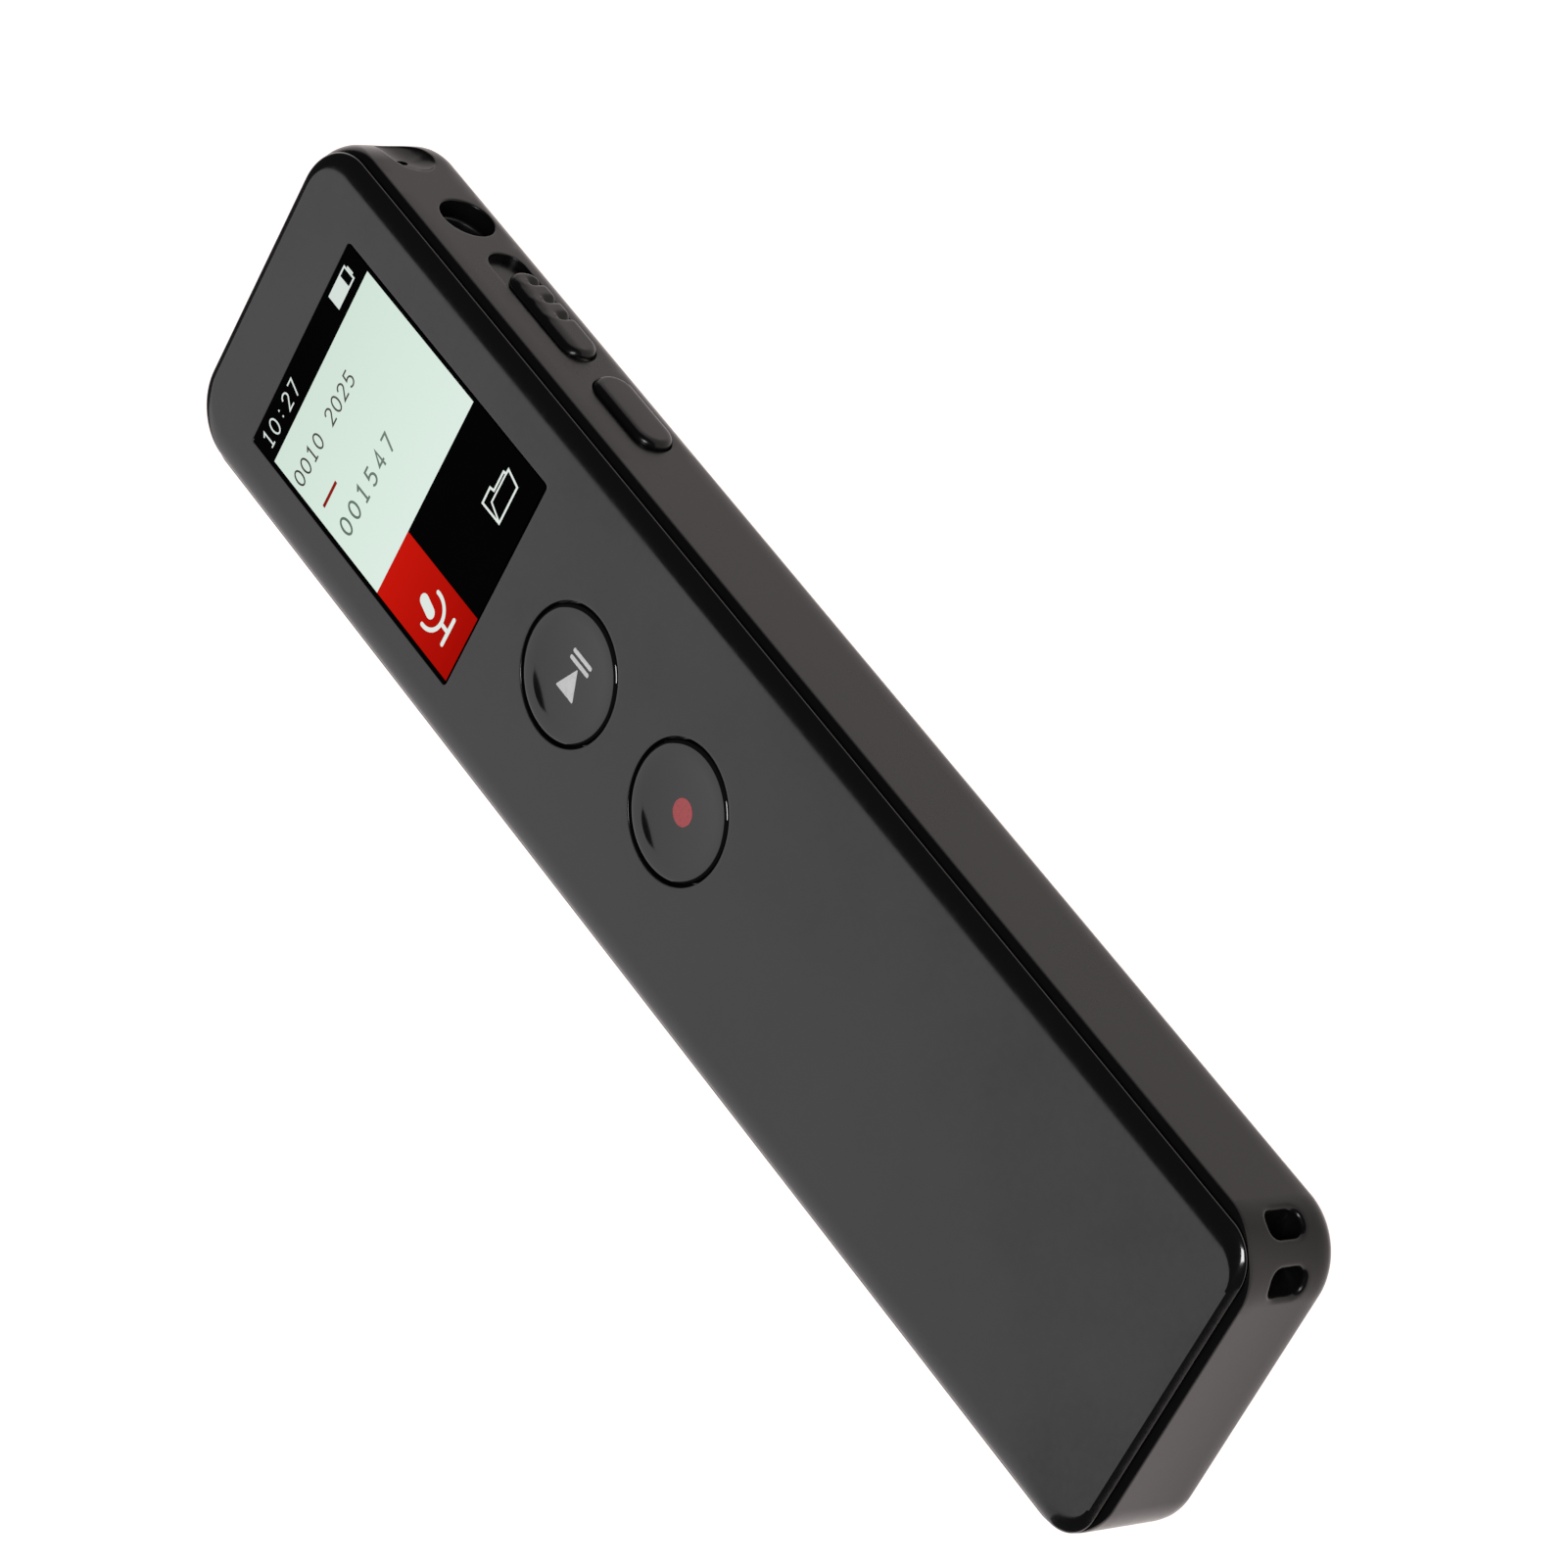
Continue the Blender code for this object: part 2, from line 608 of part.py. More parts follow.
def mic_place(side, distance):
    # A point at this distance from the middle of the top corner's round, along the microphone's axis
    x = SIDE - TOP_CORNER_RADIUS + distance * math.cos(MIC_ANGLE)
    y = TOP_END - TOP_CORNER_RADIUS + distance * math.sin(MIC_ANGLE)
    return (side * x, y, MIC_LEVEL)


# Front cover and display

def make_cover(plastic):
    rings = []
    steps = 4
    for step in range(steps + 1):
        angle = math.pi / 2 * step / steps
        level = BODY_THICKNESS - COVER_RISE * (1 - math.cos(angle))
        ring = []
        for inner, outer in zip(cover_flat_outline(), rim_outline()):
            out = math.sin(angle)
            x = inner[0] + (outer[0] - inner[0]) * out
            y = inner[1] + (outer[1] - inner[1]) * out
            ring.append((x, y, level))
        rings.append(ring)
    lip = RIM_WIDTH + FIT
    rings.append(flat(rim_outline(lip), PARTING_LEVEL))
    rings.append(flat(rim_outline(lip), LIP_LEVEL))
    rings.append(flat(rim_outline(lip + COVER_LIP_WIDTH), LIP_LEVEL))
    rings.append(flat(rim_outline(lip + COVER_LIP_WIDTH), COVER_UNDERSIDE))
    cover = loft("front_cover", rings, plastic)
    outline = rounded_rectangle(SCREEN_WIDTH, SCREEN_LENGTH, SCREEN_CORNER_RADIUS)
    place = (SCREEN_OFFSET, SCREEN_Y, BODY_THICKNESS)
    cut(cover, prism("window_opening", outline, 4 * COVER_PLATE, "Z", place))
    for name, y in FRONT_KEYS:
        place = (FRONT_KEY_OFFSET, y, BODY_THICKNESS)
        hole = cylinder(name + "_hole", KEY_HOLE_RADIUS, 4 * COVER_PLATE, place, None, "Z", 40)
        cut(cover, hole)
    for number, x in enumerate(CASE_SCREW_X, 1):
        low = case_screw_seat() + POST_WALL + FIT
        high = COVER_UNDERSIDE + COVER_PLATE / 2
        place = (x, CASE_SCREW_Y, (low + high) / 2)
        add(cover, cylinder(f"cover_post_{number}", POST_RADIUS, high - low, place))
        bore_top = case_screw_seat() + CASE_SCREW_LENGTH + GAP
        bore = cylinder(
            f"cover_bore_{number}", SCREW_SHANK_RADIUS + SCREW_CLEARANCE, 2 * (bore_top - low),
            (x, CASE_SCREW_Y, low), None, "Z", 16,
        )
        cut(cover, bore)
    cover.data.shade_smooth()
    cover.data.set_sharp_from_angle(angle=math.radians(30))
    return cover


def make_display(glass, foam, panel, white_plastic, amber):
    outline = rounded_rectangle(SCREEN_WIDTH - 2 * FIT, SCREEN_LENGTH - 2 * FIT, SCREEN_CORNER_RADIUS)
    place = (SCREEN_OFFSET, SCREEN_Y, BODY_THICKNESS - COVER_PLATE / 2)
    prism("display_window", outline, COVER_PLATE, "Z", place, glass)

    low = SCREEN_TOP_OF_LCD
    gasket = prism(
        "display_gasket", rectangle(SCREEN_WIDTH + GASKET_WIDTH, SCREEN_LENGTH + GASKET_WIDTH),
        GASKET_THICKNESS, "Z", (SCREEN_OFFSET, SCREEN_Y, low + GASKET_THICKNESS / 2), foam,
    )
    inner = rectangle(SCREEN_WIDTH - GASKET_WIDTH, SCREEN_LENGTH - GASKET_WIDTH)
    place = (SCREEN_OFFSET, SCREEN_Y, low + GASKET_THICKNESS / 2)
    cut(gasket, prism("gasket_opening", inner, 2 * GASKET_THICKNESS, "Z", place))

    # The panel reaches further down than the screen, to its driver chip.
    width = SCREEN_WIDTH + LCD_MARGIN
    length = SCREEN_LENGTH + LCD_MARGIN + LCD_DRIVER_MARGIN
    y = SCREEN_Y - (LCD_DRIVER_MARGIN - LCD_MARGIN) / 2 - LCD_MARGIN / 2
    top = SCREEN_TOP_OF_LCD - FIT
    place = (SCREEN_OFFSET, y, top - LCD_PANEL_THICKNESS / 2)
    prism("lcd_panel", rectangle(width, length), LCD_PANEL_THICKNESS, "Z", place, panel)

    frame_low = lcd_frame_low()
    outer = rectangle(width + 2 * (FIT + LCD_FRAME_WALL), length + 2 * (FIT + LCD_FRAME_WALL))
    place = (SCREEN_OFFSET, y, frame_low + LCD_FRAME_THICKNESS / 2)
    frame = prism("lcd_backlight_frame", outer, LCD_FRAME_THICKNESS, "Z", place, white_plastic)
    pocket = rectangle(width + 2 * FIT, length + 2 * FIT)
    place = (SCREEN_OFFSET, y, frame_low + LCD_FRAME_FLOOR + LCD_FRAME_THICKNESS / 2)
    cut(frame, prism("lcd_pocket", pocket, LCD_FRAME_THICKNESS, "Z", place))

    # Ribbon from the panel's lower edge down to the board
    edge = y - length / 2 - FIT - LCD_FRAME_WALL - FIT
    upper = frame_low + LCD_FRAME_THICKNESS / 2
    lower = BOARD_TOP + FIT
    thick = FLEX_THICKNESS
    outline = [
        (edge, upper), (edge, upper + thick), (edge - FLEX_TAIL / 4, upper + thick),
        (edge - FLEX_TAIL / 2 - thick, lower + thick), (edge - FLEX_TAIL, lower + thick),
        (edge - FLEX_TAIL, lower), (edge - FLEX_TAIL / 2, lower), (edge - FLEX_TAIL / 4, upper),
    ]
    prism("lcd_flex", outline, FLEX_WIDTH, "X", (SCREEN_OFFSET, 0, 0), amber)


def lcd_frame_low():
    top = SCREEN_TOP_OF_LCD - FIT
    return top - LCD_PANEL_THICKNESS - FIT - LCD_FRAME_FLOOR


# Keys and switches

FRONT_KEYS = (("play_key", PLAY_KEY_Y), ("record_key", RECORD_KEY_Y))
SIDE_KEYS = (
    ("menu_key", 1, MENU_KEY_FROM_TOP),
    ("next_key", -1, NEXT_KEY_FROM_TOP),
    ("previous_key", -1, PREVIOUS_KEY_FROM_TOP),
)


def make_front_key(name, y, plastic, black, metal):
    # The cap's origin is at the middle of its face, on the line that it moves along.
    top = BODY_THICKNESS
    rise = KEY_DISH
    profile = [
        (0, -rise), (KEY_RADIUS * 0.45, -rise * 0.8), (KEY_RADIUS * 0.8, -rise * 0.35),
        (KEY_RADIUS - GAP / 2, 0), (KEY_RADIUS, -GAP / 2), (KEY_RADIUS, KEY_FLANGE_TOP - top),
        (KEY_HOLE_RADIUS + KEY_FLANGE_OVERLAP, KEY_FLANGE_TOP - top),
        (KEY_HOLE_RADIUS + KEY_FLANGE_OVERLAP, KEY_FLANGE_LOW - top),
        (KEY_STEM_RADIUS, KEY_FLANGE_LOW - top), (KEY_STEM_RADIUS, KEY_STEM_LOW - top),
        (0, KEY_STEM_LOW - top),
    ]
    x = FRONT_KEY_OFFSET
    turned(name, profile, (x, y, top), plastic, "Z", 40)

    stem = name.replace("_key", "")
    low = BOARD_TOP + FIT
    base = block(stem + "_switch_base", (SWITCH_SIZE, SWITCH_SIZE, SWITCH_HEIGHT),
                 (x, y, low + SWITCH_HEIGHT / 2), metal)
    plunger_top = KEY_STEM_LOW - FIT
    plunger_low = low + FIT + KEY_TRAVEL
    well_low = low + FIT / 2
    well_place = (x, y, well_low + SWITCH_HEIGHT / 2)
    well = cylinder(stem + "_switch_well", PLUNGER_RADIUS + FIT, SWITCH_HEIGHT, well_place)
    cut(base, well)
    cylinder(stem + "_switch_plunger", PLUNGER_RADIUS, plunger_top - plunger_low,
             (x, y, (plunger_top + plunger_low) / 2), black, "Z", 16)


def make_side_key(name, side, from_top, plastic, black, metal):
    y = TOP_END - from_top
    z = SIDE_CONTROL_HEIGHT
    # The cap's origin is at the middle of its outer face.
    outer = SIDE + SIDE_PROUD
    soft = GAP
    rings = []
    for inset, depth in ((soft, outer), (0, outer - soft), (0, SIDE_FLANGE_OUT)):
        rings.append((pill(SIDE_KEY_LENGTH - 2 * inset, SIDE_KEY_WIDTH - 2 * inset), depth))
    flange = pill(SIDE_KEY_LENGTH + 2 * SIDE_FLANGE_OVERLAP, SIDE_KEY_WIDTH + 2 * SIDE_FLANGE_OVERLAP)
    rings.append((flange, SIDE_FLANGE_OUT))
    rings.append((flange, SIDE_FLANGE_IN))
    solid = [[(side * (depth - outer), u, v) for u, v in outline] for outline, depth in rings]
    cap = loft(name, solid, plastic, (side * outer, y, z))
    cap.data.shade_smooth()
    cap.data.set_sharp_from_angle(angle=math.radians(30))

    stem = name.replace("_key", "")
    tip = SIDE_FLANGE_IN - FIT
    face = tip - SIDE_KEY_TRAVEL - FIT
    base = block(stem + "_switch_base", (SIDE_SWITCH_DEPTH, SIDE_SWITCH_LENGTH, SIDE_SWITCH_HEIGHT),
                 (side * (face - SIDE_SWITCH_DEPTH / 2), y, side_switch_level()), metal)
    well_depth = SIDE_SWITCH_DEPTH / 2
    well = cylinder(stem + "_switch_well", SIDE_PLUNGER_RADIUS + FIT, 2 * well_depth,
                    (side * face, y, side_switch_level()), None, "X", 16)
    cut(base, well)
    root = face - well_depth + SIDE_KEY_TRAVEL + FIT
    cylinder(stem + "_switch_plunger", SIDE_PLUNGER_RADIUS, tip - root,
             (side * (tip + root) / 2, y, side_switch_level()), black, "X", 16)


def side_switch_level():
    return BOARD_LEVEL - FIT - SIDE_SWITCH_HEIGHT / 2


def make_hold_slider(plastic, black, metal):
    # The knob's origin is at the middle of its outer face, and it slides along Y from its low end.
    outer = SIDE + SIDE_PROUD
    z = SIDE_CONTROL_HEIGHT
    soft = GAP
    rings = []
    for inset, depth in ((soft, outer), (0, outer - soft), (0, SIDE_FLANGE_OUT)):
        rings.append((pill(SLIDER_LENGTH - 2 * inset, SLIDER_WIDTH - 2 * inset), depth))
    plate = pill(SLIDER_LENGTH + 2 * GAP, SLIDER_WIDTH + 2 * (GAP + SIDE_FLANGE_OVERLAP))
    rings.append((plate, SIDE_FLANGE_OUT))
    rings.append((plate, SIDE_FLANGE_IN))
    solid = [[(depth - outer, u, v) for u, v in outline] for outline, depth in rings]
    knob = loft("hold_slider_knob", solid, plastic, (outer, SLIDER_Y, z))
    for number in range(SLIDER_GROOVES):
        y = SLIDER_Y + (number - (SLIDER_GROOVES - 1) / 2 + 0.5) * SLIDER_GROOVE_PITCH
        size = (2 * SLIDER_GROOVE_DEPTH, SLIDER_GROOVE_WIDTH, SLIDER_WIDTH)
        groove = block(f"slider_groove_{number + 1}", size, (outer, y, z - SLIDER_WIDTH * 0.45))
        cut(knob, groove)
    knob.data.shade_smooth()
    knob.data.set_sharp_from_angle(angle=math.radians(30))

    tip = SIDE_FLANGE_IN - FIT
    face = tip - LEVER_LENGTH / 2
    level = side_switch_level()
    middle = SLIDER_Y + SLIDER_TRAVEL / 2
    window = LEVER_WIDTH + SLIDER_TRAVEL + 2 * GAP
    length = window + 2 * SWITCH_HEIGHT
    base = block("hold_switch_base", (HOLD_SWITCH_DEPTH, length, SIDE_SWITCH_HEIGHT),
                 (face - HOLD_SWITCH_DEPTH / 2, middle, level), metal)
    depth = LEVER_LENGTH / 2 + FIT
    size = (2 * depth, window, SIDE_SWITCH_HEIGHT / 2 + FIT)
    cut(base, block("hold_switch_window", size, (face, middle, level)))
    block("hold_switch_lever", (LEVER_LENGTH, LEVER_WIDTH, SIDE_SWITCH_HEIGHT / 2 - FIT),
          (tip - LEVER_LENGTH / 2, SLIDER_Y, level), black)


# Sockets

def make_jack(black):
    body = block("headphone_jack", (JACK_BODY_LENGTH, JACK_BODY_WIDTH, JACK_BODY_HEIGHT),
                 (JACK_END - JACK_BODY_LENGTH / 2, JACK_Y, JACK_HEIGHT), black)
    place = (JACK_END, JACK_Y, JACK_HEIGHT)
    bore = cylinder("jack_bore", JACK_BORE / 2, 2 * JACK_BORE_DEPTH, place, None, "X", 24)
    cut(body, bore)


def make_port(steel, black):
    front = TOP_END - PORT_SET_BACK
    middle = front - PORT_DEPTH / 2
    place = (0, middle, PORT_LEVEL)
    shell = prism("port_shell", pill(PORT_WIDTH, PORT_HEIGHT), PORT_DEPTH, "Y", place, steel)
    inner = pill(PORT_WIDTH - 2 * PORT_WALL, PORT_HEIGHT - 2 * PORT_WALL)
    cavity = prism("port_cavity", inner, PORT_DEPTH, "Y", (0, middle + PORT_WALL, PORT_LEVEL))
    cut(shell, cavity)
    back = middle - PORT_DEPTH / 2 + PORT_WALL + FIT
    block("port_tongue", (PORT_TONGUE_WIDTH, PORT_TONGUE_LENGTH, PORT_TONGUE_THICKNESS),
          (0, back + PORT_TONGUE_LENGTH / 2, PORT_LEVEL), black)


def mic_reach():
    # How far out along its axis the boot reaches before it would meet the inside of the corner
    radius = RIM_TOP_CORNER_RADIUS - RIM_WIDTH
    x = INNER_SIDE - radius - (SIDE - TOP_CORNER_RADIUS)
    y = INNER_TOP - radius - (TOP_END - TOP_CORNER_RADIUS)
    along = x * math.cos(MIC_ANGLE) + y * math.sin(MIC_ANGLE)
    across = abs(y * math.cos(MIC_ANGLE) - x * math.sin(MIC_ANGLE))
    outer = MIC_RADIUS + FIT + MIC_BOOT_WALL
    return along + math.sqrt((radius - GAP) ** 2 - (outer + across) ** 2)


def make_microphone(side, steel, rubber):
    tag = "right" if side > 0 else "left"
    front = mic_reach() - FIT
    turn = (0, 0, mic_turn(side))
    capsule = cylinder(f"{tag}_microphone", MIC_RADIUS, MIC_LENGTH, (0, 0, 0), steel, "X")
    capsule.location = mic_place(side, front - MIC_LENGTH / 2)
    capsule.rotation_euler = turn
    inner = MIC_RADIUS + FIT
    outer = inner + MIC_BOOT_WALL
    half = MIC_LENGTH / 2 + FIT
    profile = [(inner, half), (outer, half), (outer, -half), (inner, -half)]
    boot = turned(f"{tag}_microphone_boot", profile, (0, 0, 0), rubber, "X")
    boot.location = mic_place(side, front - MIC_LENGTH / 2)
    boot.rotation_euler = turn


# Board and its parts

def make_board(green, chip, metal):
    notch_x = JACK_INNER_END - GAP
    notch_y = JACK_Y - JACK_BODY_WIDTH / 2 - GAP
    outline = [
        (-BOARD_SIDE, BOARD_BOTTOM_Y), (BOARD_SIDE, BOARD_BOTTOM_Y), (BOARD_SIDE, notch_y),
        (notch_x, notch_y), (notch_x, BOARD_TOP_Y), (-BOARD_SIDE, BOARD_TOP_Y),
    ]
    place = (0, 0, BOARD_LEVEL + BOARD_THICKNESS / 2)
    board = prism("main_board", outline, BOARD_THICKNESS, "Z", place, green)
    for number, (x, from_top) in enumerate(zip(BOARD_SCREW_X, BOARD_SCREW_FROM_TOP), 1):
        place = (x, TOP_END - from_top, BOARD_LEVEL + BOARD_THICKNESS / 2)
        radius = SCREW_SHANK_RADIUS + SCREW_CLEARANCE
        cut(board, cylinder(f"board_hole_{number}", radius, 2 * BOARD_THICKNESS, place, None, "Z", 16))
    below = BOARD_LEVEL - FIT
    chips = (
        ("processor_chip", PROCESSOR_SIZE, (0.0, PLAY_KEY_Y - PROCESSOR_BELOW_PLAY_KEY), chip),
        ("memory_chip", MEMORY_SIZE, (0.0, RECORD_KEY_Y + MEMORY_ABOVE_RECORD_KEY), chip),
        ("charger_chip", CHARGER_SIZE, (CHARGER_X, JACK_Y), chip),
        ("clock_crystal", CRYSTAL_SIZE, (0.0, PLAY_KEY_Y + CRYSTAL_ABOVE_PLAY_KEY), metal),
    )
    for name, size, (x, y), material in chips:
        block(name, size, (x, y, below - size[2] / 2), material)
    for number, (x, from_top) in enumerate(zip(BOARD_SCREW_X, BOARD_SCREW_FROM_TOP), 1):
        seat = (x, TOP_END - from_top, BOARD_TOP + FIT)
        make_screw(f"board_screw_{number}", seat, -1, BOARD_SCREW_LENGTH, metal)


def board_screw_tip():
    return BOARD_TOP + FIT - BOARD_SCREW_LENGTH


def make_screw(name, seat, direction, length, metal):
    # The seat is where the head's underside is, and the shank runs from it in this direction.
    profile = [
        (0, -SCREW_HEAD_HEIGHT), (SCREW_HEAD_RADIUS, -SCREW_HEAD_HEIGHT), (SCREW_HEAD_RADIUS, 0),
        (SCREW_SHANK_RADIUS, 0), (SCREW_SHANK_RADIUS, length), (0, length),
    ]
    profile = [(radius, depth * direction) for radius, depth in profile]
    screw = turned(name, profile, seat, metal, "Z", 16)
    # Cross recess in the head
    outer_face = seat[2] - direction * SCREW_HEAD_HEIGHT
    size = (SCREW_HEAD_RADIUS * 1.2, SCREW_HEAD_RADIUS * 0.28, SCREW_HEAD_HEIGHT)
    for number, (width, depth) in enumerate(((size[0], size[1]), (size[1], size[0])), 1):
        place = (seat[0], seat[1], outer_face)
        cut(screw, block(f"{name}_recess_{number}", (width, depth, size[2]), place))


# Speaker and battery

def make_speaker(black, foam, steel, film):
    size = (SPEAKER_WIDTH, SPEAKER_LENGTH)
    inner = (SPEAKER_WIDTH - 2 * SPEAKER_FRAME_WALL, SPEAKER_LENGTH - 2 * SPEAKER_FRAME_WALL)
    level = BACK_WALL + FIT + SPEAKER_GASKET / 2
    outline = rounded_rectangle(*size, SPEAKER_CORNER)
    gasket = prism("speaker_gasket", outline, SPEAKER_GASKET, "Z", (0, SPEAKER_Y, level), foam)
    opening = rounded_rectangle(*inner, SPEAKER_OPENING_CORNER)
    cut(gasket, prism("speaker_gasket_opening", opening, 2 * SPEAKER_GASKET, "Z", (0, SPEAKER_Y, level)))
    level = SPEAKER_LOW + SPEAKER_HEIGHT / 2
    outline = rounded_rectangle(*size, SPEAKER_CORNER)
    frame = prism("speaker_frame", outline, SPEAKER_HEIGHT, "Z", (0, SPEAKER_Y, level), black)
    cut(frame, prism("speaker_frame_opening", opening, 2 * SPEAKER_HEIGHT, "Z", (0, SPEAKER_Y, level)))
    film_size = (inner[0] - 2 * FIT, inner[1] - 2 * FIT)
    level = SPEAKER_LOW + 2 * FIT + DIAPHRAGM_THICKNESS / 2
    prism("speaker_diaphragm", rounded_rectangle(*film_size, DIAPHRAGM_CORNER), DIAPHRAGM_THICKNESS, "Z",
          (0, SPEAKER_Y, level), film)
    level = SPEAKER_LOW + SPEAKER_HEIGHT - FIT - MAGNET_THICKNESS / 2
    magnet = (inner[0] - 2 * GAP, inner[1] - 2 * GAP)
    outline = rounded_rectangle(*magnet, MAGNET_CORNER)
    prism("speaker_magnet", outline, MAGNET_THICKNESS, "Z", (0, SPEAKER_Y, level), steel)


def make_battery(pouch, tape, green, red, black):
    width = 2 * (INNER_SIDE - GAP)
    length = BATTERY_TOP_Y - BATTERY_BOTTOM_Y
    y = (BATTERY_TOP_Y + BATTERY_BOTTOM_Y) / 2
    outline = rounded_rectangle(width, length, BATTERY_CORNER)
    place = (0, y, BATTERY_LOW + BATTERY_THICKNESS / 2)
    prism("battery_cell", outline, BATTERY_THICKNESS, "Z", place, pouch)
    size = (width - 2 * BATTERY_TAPE_INSET, length - 2 * BATTERY_TAPE_INSET, BATTERY_TAPE)
    block("battery_tape", size, (0, y, BACK_WALL + FIT + BATTERY_TAPE / 2), tape)
    size = (PROTECTION_BOARD_WIDTH, PROTECTION_BOARD_THICKNESS, PROTECTION_BOARD_HEIGHT)
    level = BATTERY_LOW + BATTERY_THICKNESS / 2
    block("protection_board", size, (0, PROTECTION_BOARD_Y, level), green)

    # Leads over the speaker to the board's lower edge
    over = BOARD_TOP + FIT + LEAD_RADIUS
    start_y = PROTECTION_BOARD_Y
    start_z = level + PROTECTION_BOARD_HEIGHT / 2 + FIT + LEAD_RADIUS
    end_y = BOARD_BOTTOM_Y + LEAD_OVER_BOARD
    speaker_z = SPEAKER_LOW + SPEAKER_HEIGHT + FIT + LEAD_RADIUS
    leads = (
        ("battery_lead_red", -3 * LEAD_PITCH, start_y, start_z, red),
        ("battery_lead_black", -2 * LEAD_PITCH, start_y, start_z, black),
        ("speaker_lead_red", 2 * LEAD_PITCH, SPEAKER_Y, speaker_z, red),
        ("speaker_lead_black", 3 * LEAD_PITCH, SPEAKER_Y, speaker_z, black),
    )
    for name, x, first_y, first_z, material in leads:
        points = []
        steps = 8
        for step in range(steps + 1):
            share = step / steps
            ease = share * share * (3 - 2 * share)
            bow = LEAD_RADIUS * math.sin(math.pi * share)
            y = first_y + (end_y - first_y) * share
            z = first_z + (over - first_z) * ease
            points.append((x + bow, y, z))
        tube_along(name, points, LEAD_RADIUS, material)


def main():
    clear_scene()
    body_plastic = make_material("body_plastic", (0.045, 0.042, 0.042), 0.32)
    cover_plastic = make_material("cover_plastic", (0.05, 0.047, 0.048), 0.22)
    key_plastic = make_material("key_plastic", (0.05, 0.048, 0.049), 0.15)
    black_plastic = make_material("black_plastic", (0.02, 0.02, 0.02), 0.5)
    white_plastic = make_material("white_plastic", (0.8, 0.8, 0.78), 0.5)
    clear_acrylic = make_material("clear_acrylic", (0.02, 0.02, 0.02), 0.05)
    panel_glass = make_material("panel_glass", (0.7, 0.8, 0.74), 0.1)
    foam = make_material("black_foam", (0.03, 0.03, 0.03), 0.9)
    rubber = make_material("mic_rubber", (0.03, 0.03, 0.03), 0.8)
    steel = make_material("plated_steel", (0.6, 0.6, 0.6), 0.3, 1.0)
    board_green = make_material("board_green", (0.02, 0.12, 0.06), 0.4)
    chip_epoxy = make_material("chip_epoxy", (0.02, 0.02, 0.022), 0.6)
    polyimide = make_material("amber_film", (0.45, 0.2, 0.04), 0.35)
    pouch_foil = make_material("pouch_foil", (0.6, 0.61, 0.63), 0.35, 0.8)
    red_wire = make_material("red_wire", (0.5, 0.03, 0.02), 0.5)

    make_shell(body_plastic)
    make_cover(cover_plastic)
    make_display(clear_acrylic, foam, panel_glass, white_plastic, polyimide)
    for name, y in FRONT_KEYS:
        make_front_key(name, y, key_plastic, black_plastic, steel)
    for name, side, from_top in SIDE_KEYS:
        make_side_key(name, side, from_top, body_plastic, black_plastic, steel)
    make_hold_slider(body_plastic, black_plastic, steel)
    make_jack(black_plastic)
    make_port(steel, black_plastic)
    for side in (1, -1):
        make_microphone(side, steel, rubber)
    make_board(board_green, chip_epoxy, steel)
    make_speaker(black_plastic, foam, steel, polyimide)
    make_battery(pouch_foil, foam, board_green, red_wire, black_plastic)
    for number, x in enumerate(CASE_SCREW_X, 1):
        make_screw(f"case_screw_{number}", (x, CASE_SCREW_Y, SCREW_SET_IN + SCREW_HEAD_HEIGHT), 1,
                   CASE_SCREW_LENGTH, steel)


main()
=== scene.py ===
import math

import bmesh
import bpy
from mathutils import Matrix, Vector
from mathutils.geometry import tessellate_polygon


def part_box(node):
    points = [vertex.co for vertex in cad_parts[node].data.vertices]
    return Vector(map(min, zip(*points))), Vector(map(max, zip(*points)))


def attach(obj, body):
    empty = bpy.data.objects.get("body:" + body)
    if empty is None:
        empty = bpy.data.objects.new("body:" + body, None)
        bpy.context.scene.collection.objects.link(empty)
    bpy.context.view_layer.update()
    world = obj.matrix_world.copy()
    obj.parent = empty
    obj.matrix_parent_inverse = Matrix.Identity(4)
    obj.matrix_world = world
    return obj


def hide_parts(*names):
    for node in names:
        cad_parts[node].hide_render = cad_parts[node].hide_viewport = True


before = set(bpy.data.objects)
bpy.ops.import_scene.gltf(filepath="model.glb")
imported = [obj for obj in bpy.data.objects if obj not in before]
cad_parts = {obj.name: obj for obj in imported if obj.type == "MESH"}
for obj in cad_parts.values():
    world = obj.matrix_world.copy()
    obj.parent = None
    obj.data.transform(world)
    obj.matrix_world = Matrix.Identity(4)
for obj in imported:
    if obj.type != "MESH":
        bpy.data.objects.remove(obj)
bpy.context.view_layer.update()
mm = 0.001


class Wire:
    # one output socket of a shader, with the usual maths on it

    def __init__(self, tree, socket):
        self.tree = tree
        self.socket = socket

    def maths(self, operation, first, second):
        return self.tree.node("ShaderNodeMath", {"operation": operation}, {0: first, 1: second})

    def __add__(self, other):
        return self.maths("ADD", self, other)

    def __radd__(self, other):
        return self.maths("ADD", other, self)

    def __sub__(self, other):
        return self.maths("SUBTRACT", self, other)

    def __rsub__(self, other):
        return self.maths("SUBTRACT", other, self)

    def __mul__(self, other):
        return self.maths("MULTIPLY", self, other)

    def __rmul__(self, other):
        return self.maths("MULTIPLY", other, self)

    def __gt__(self, other):
        return self.maths("GREATER_THAN", self, other)


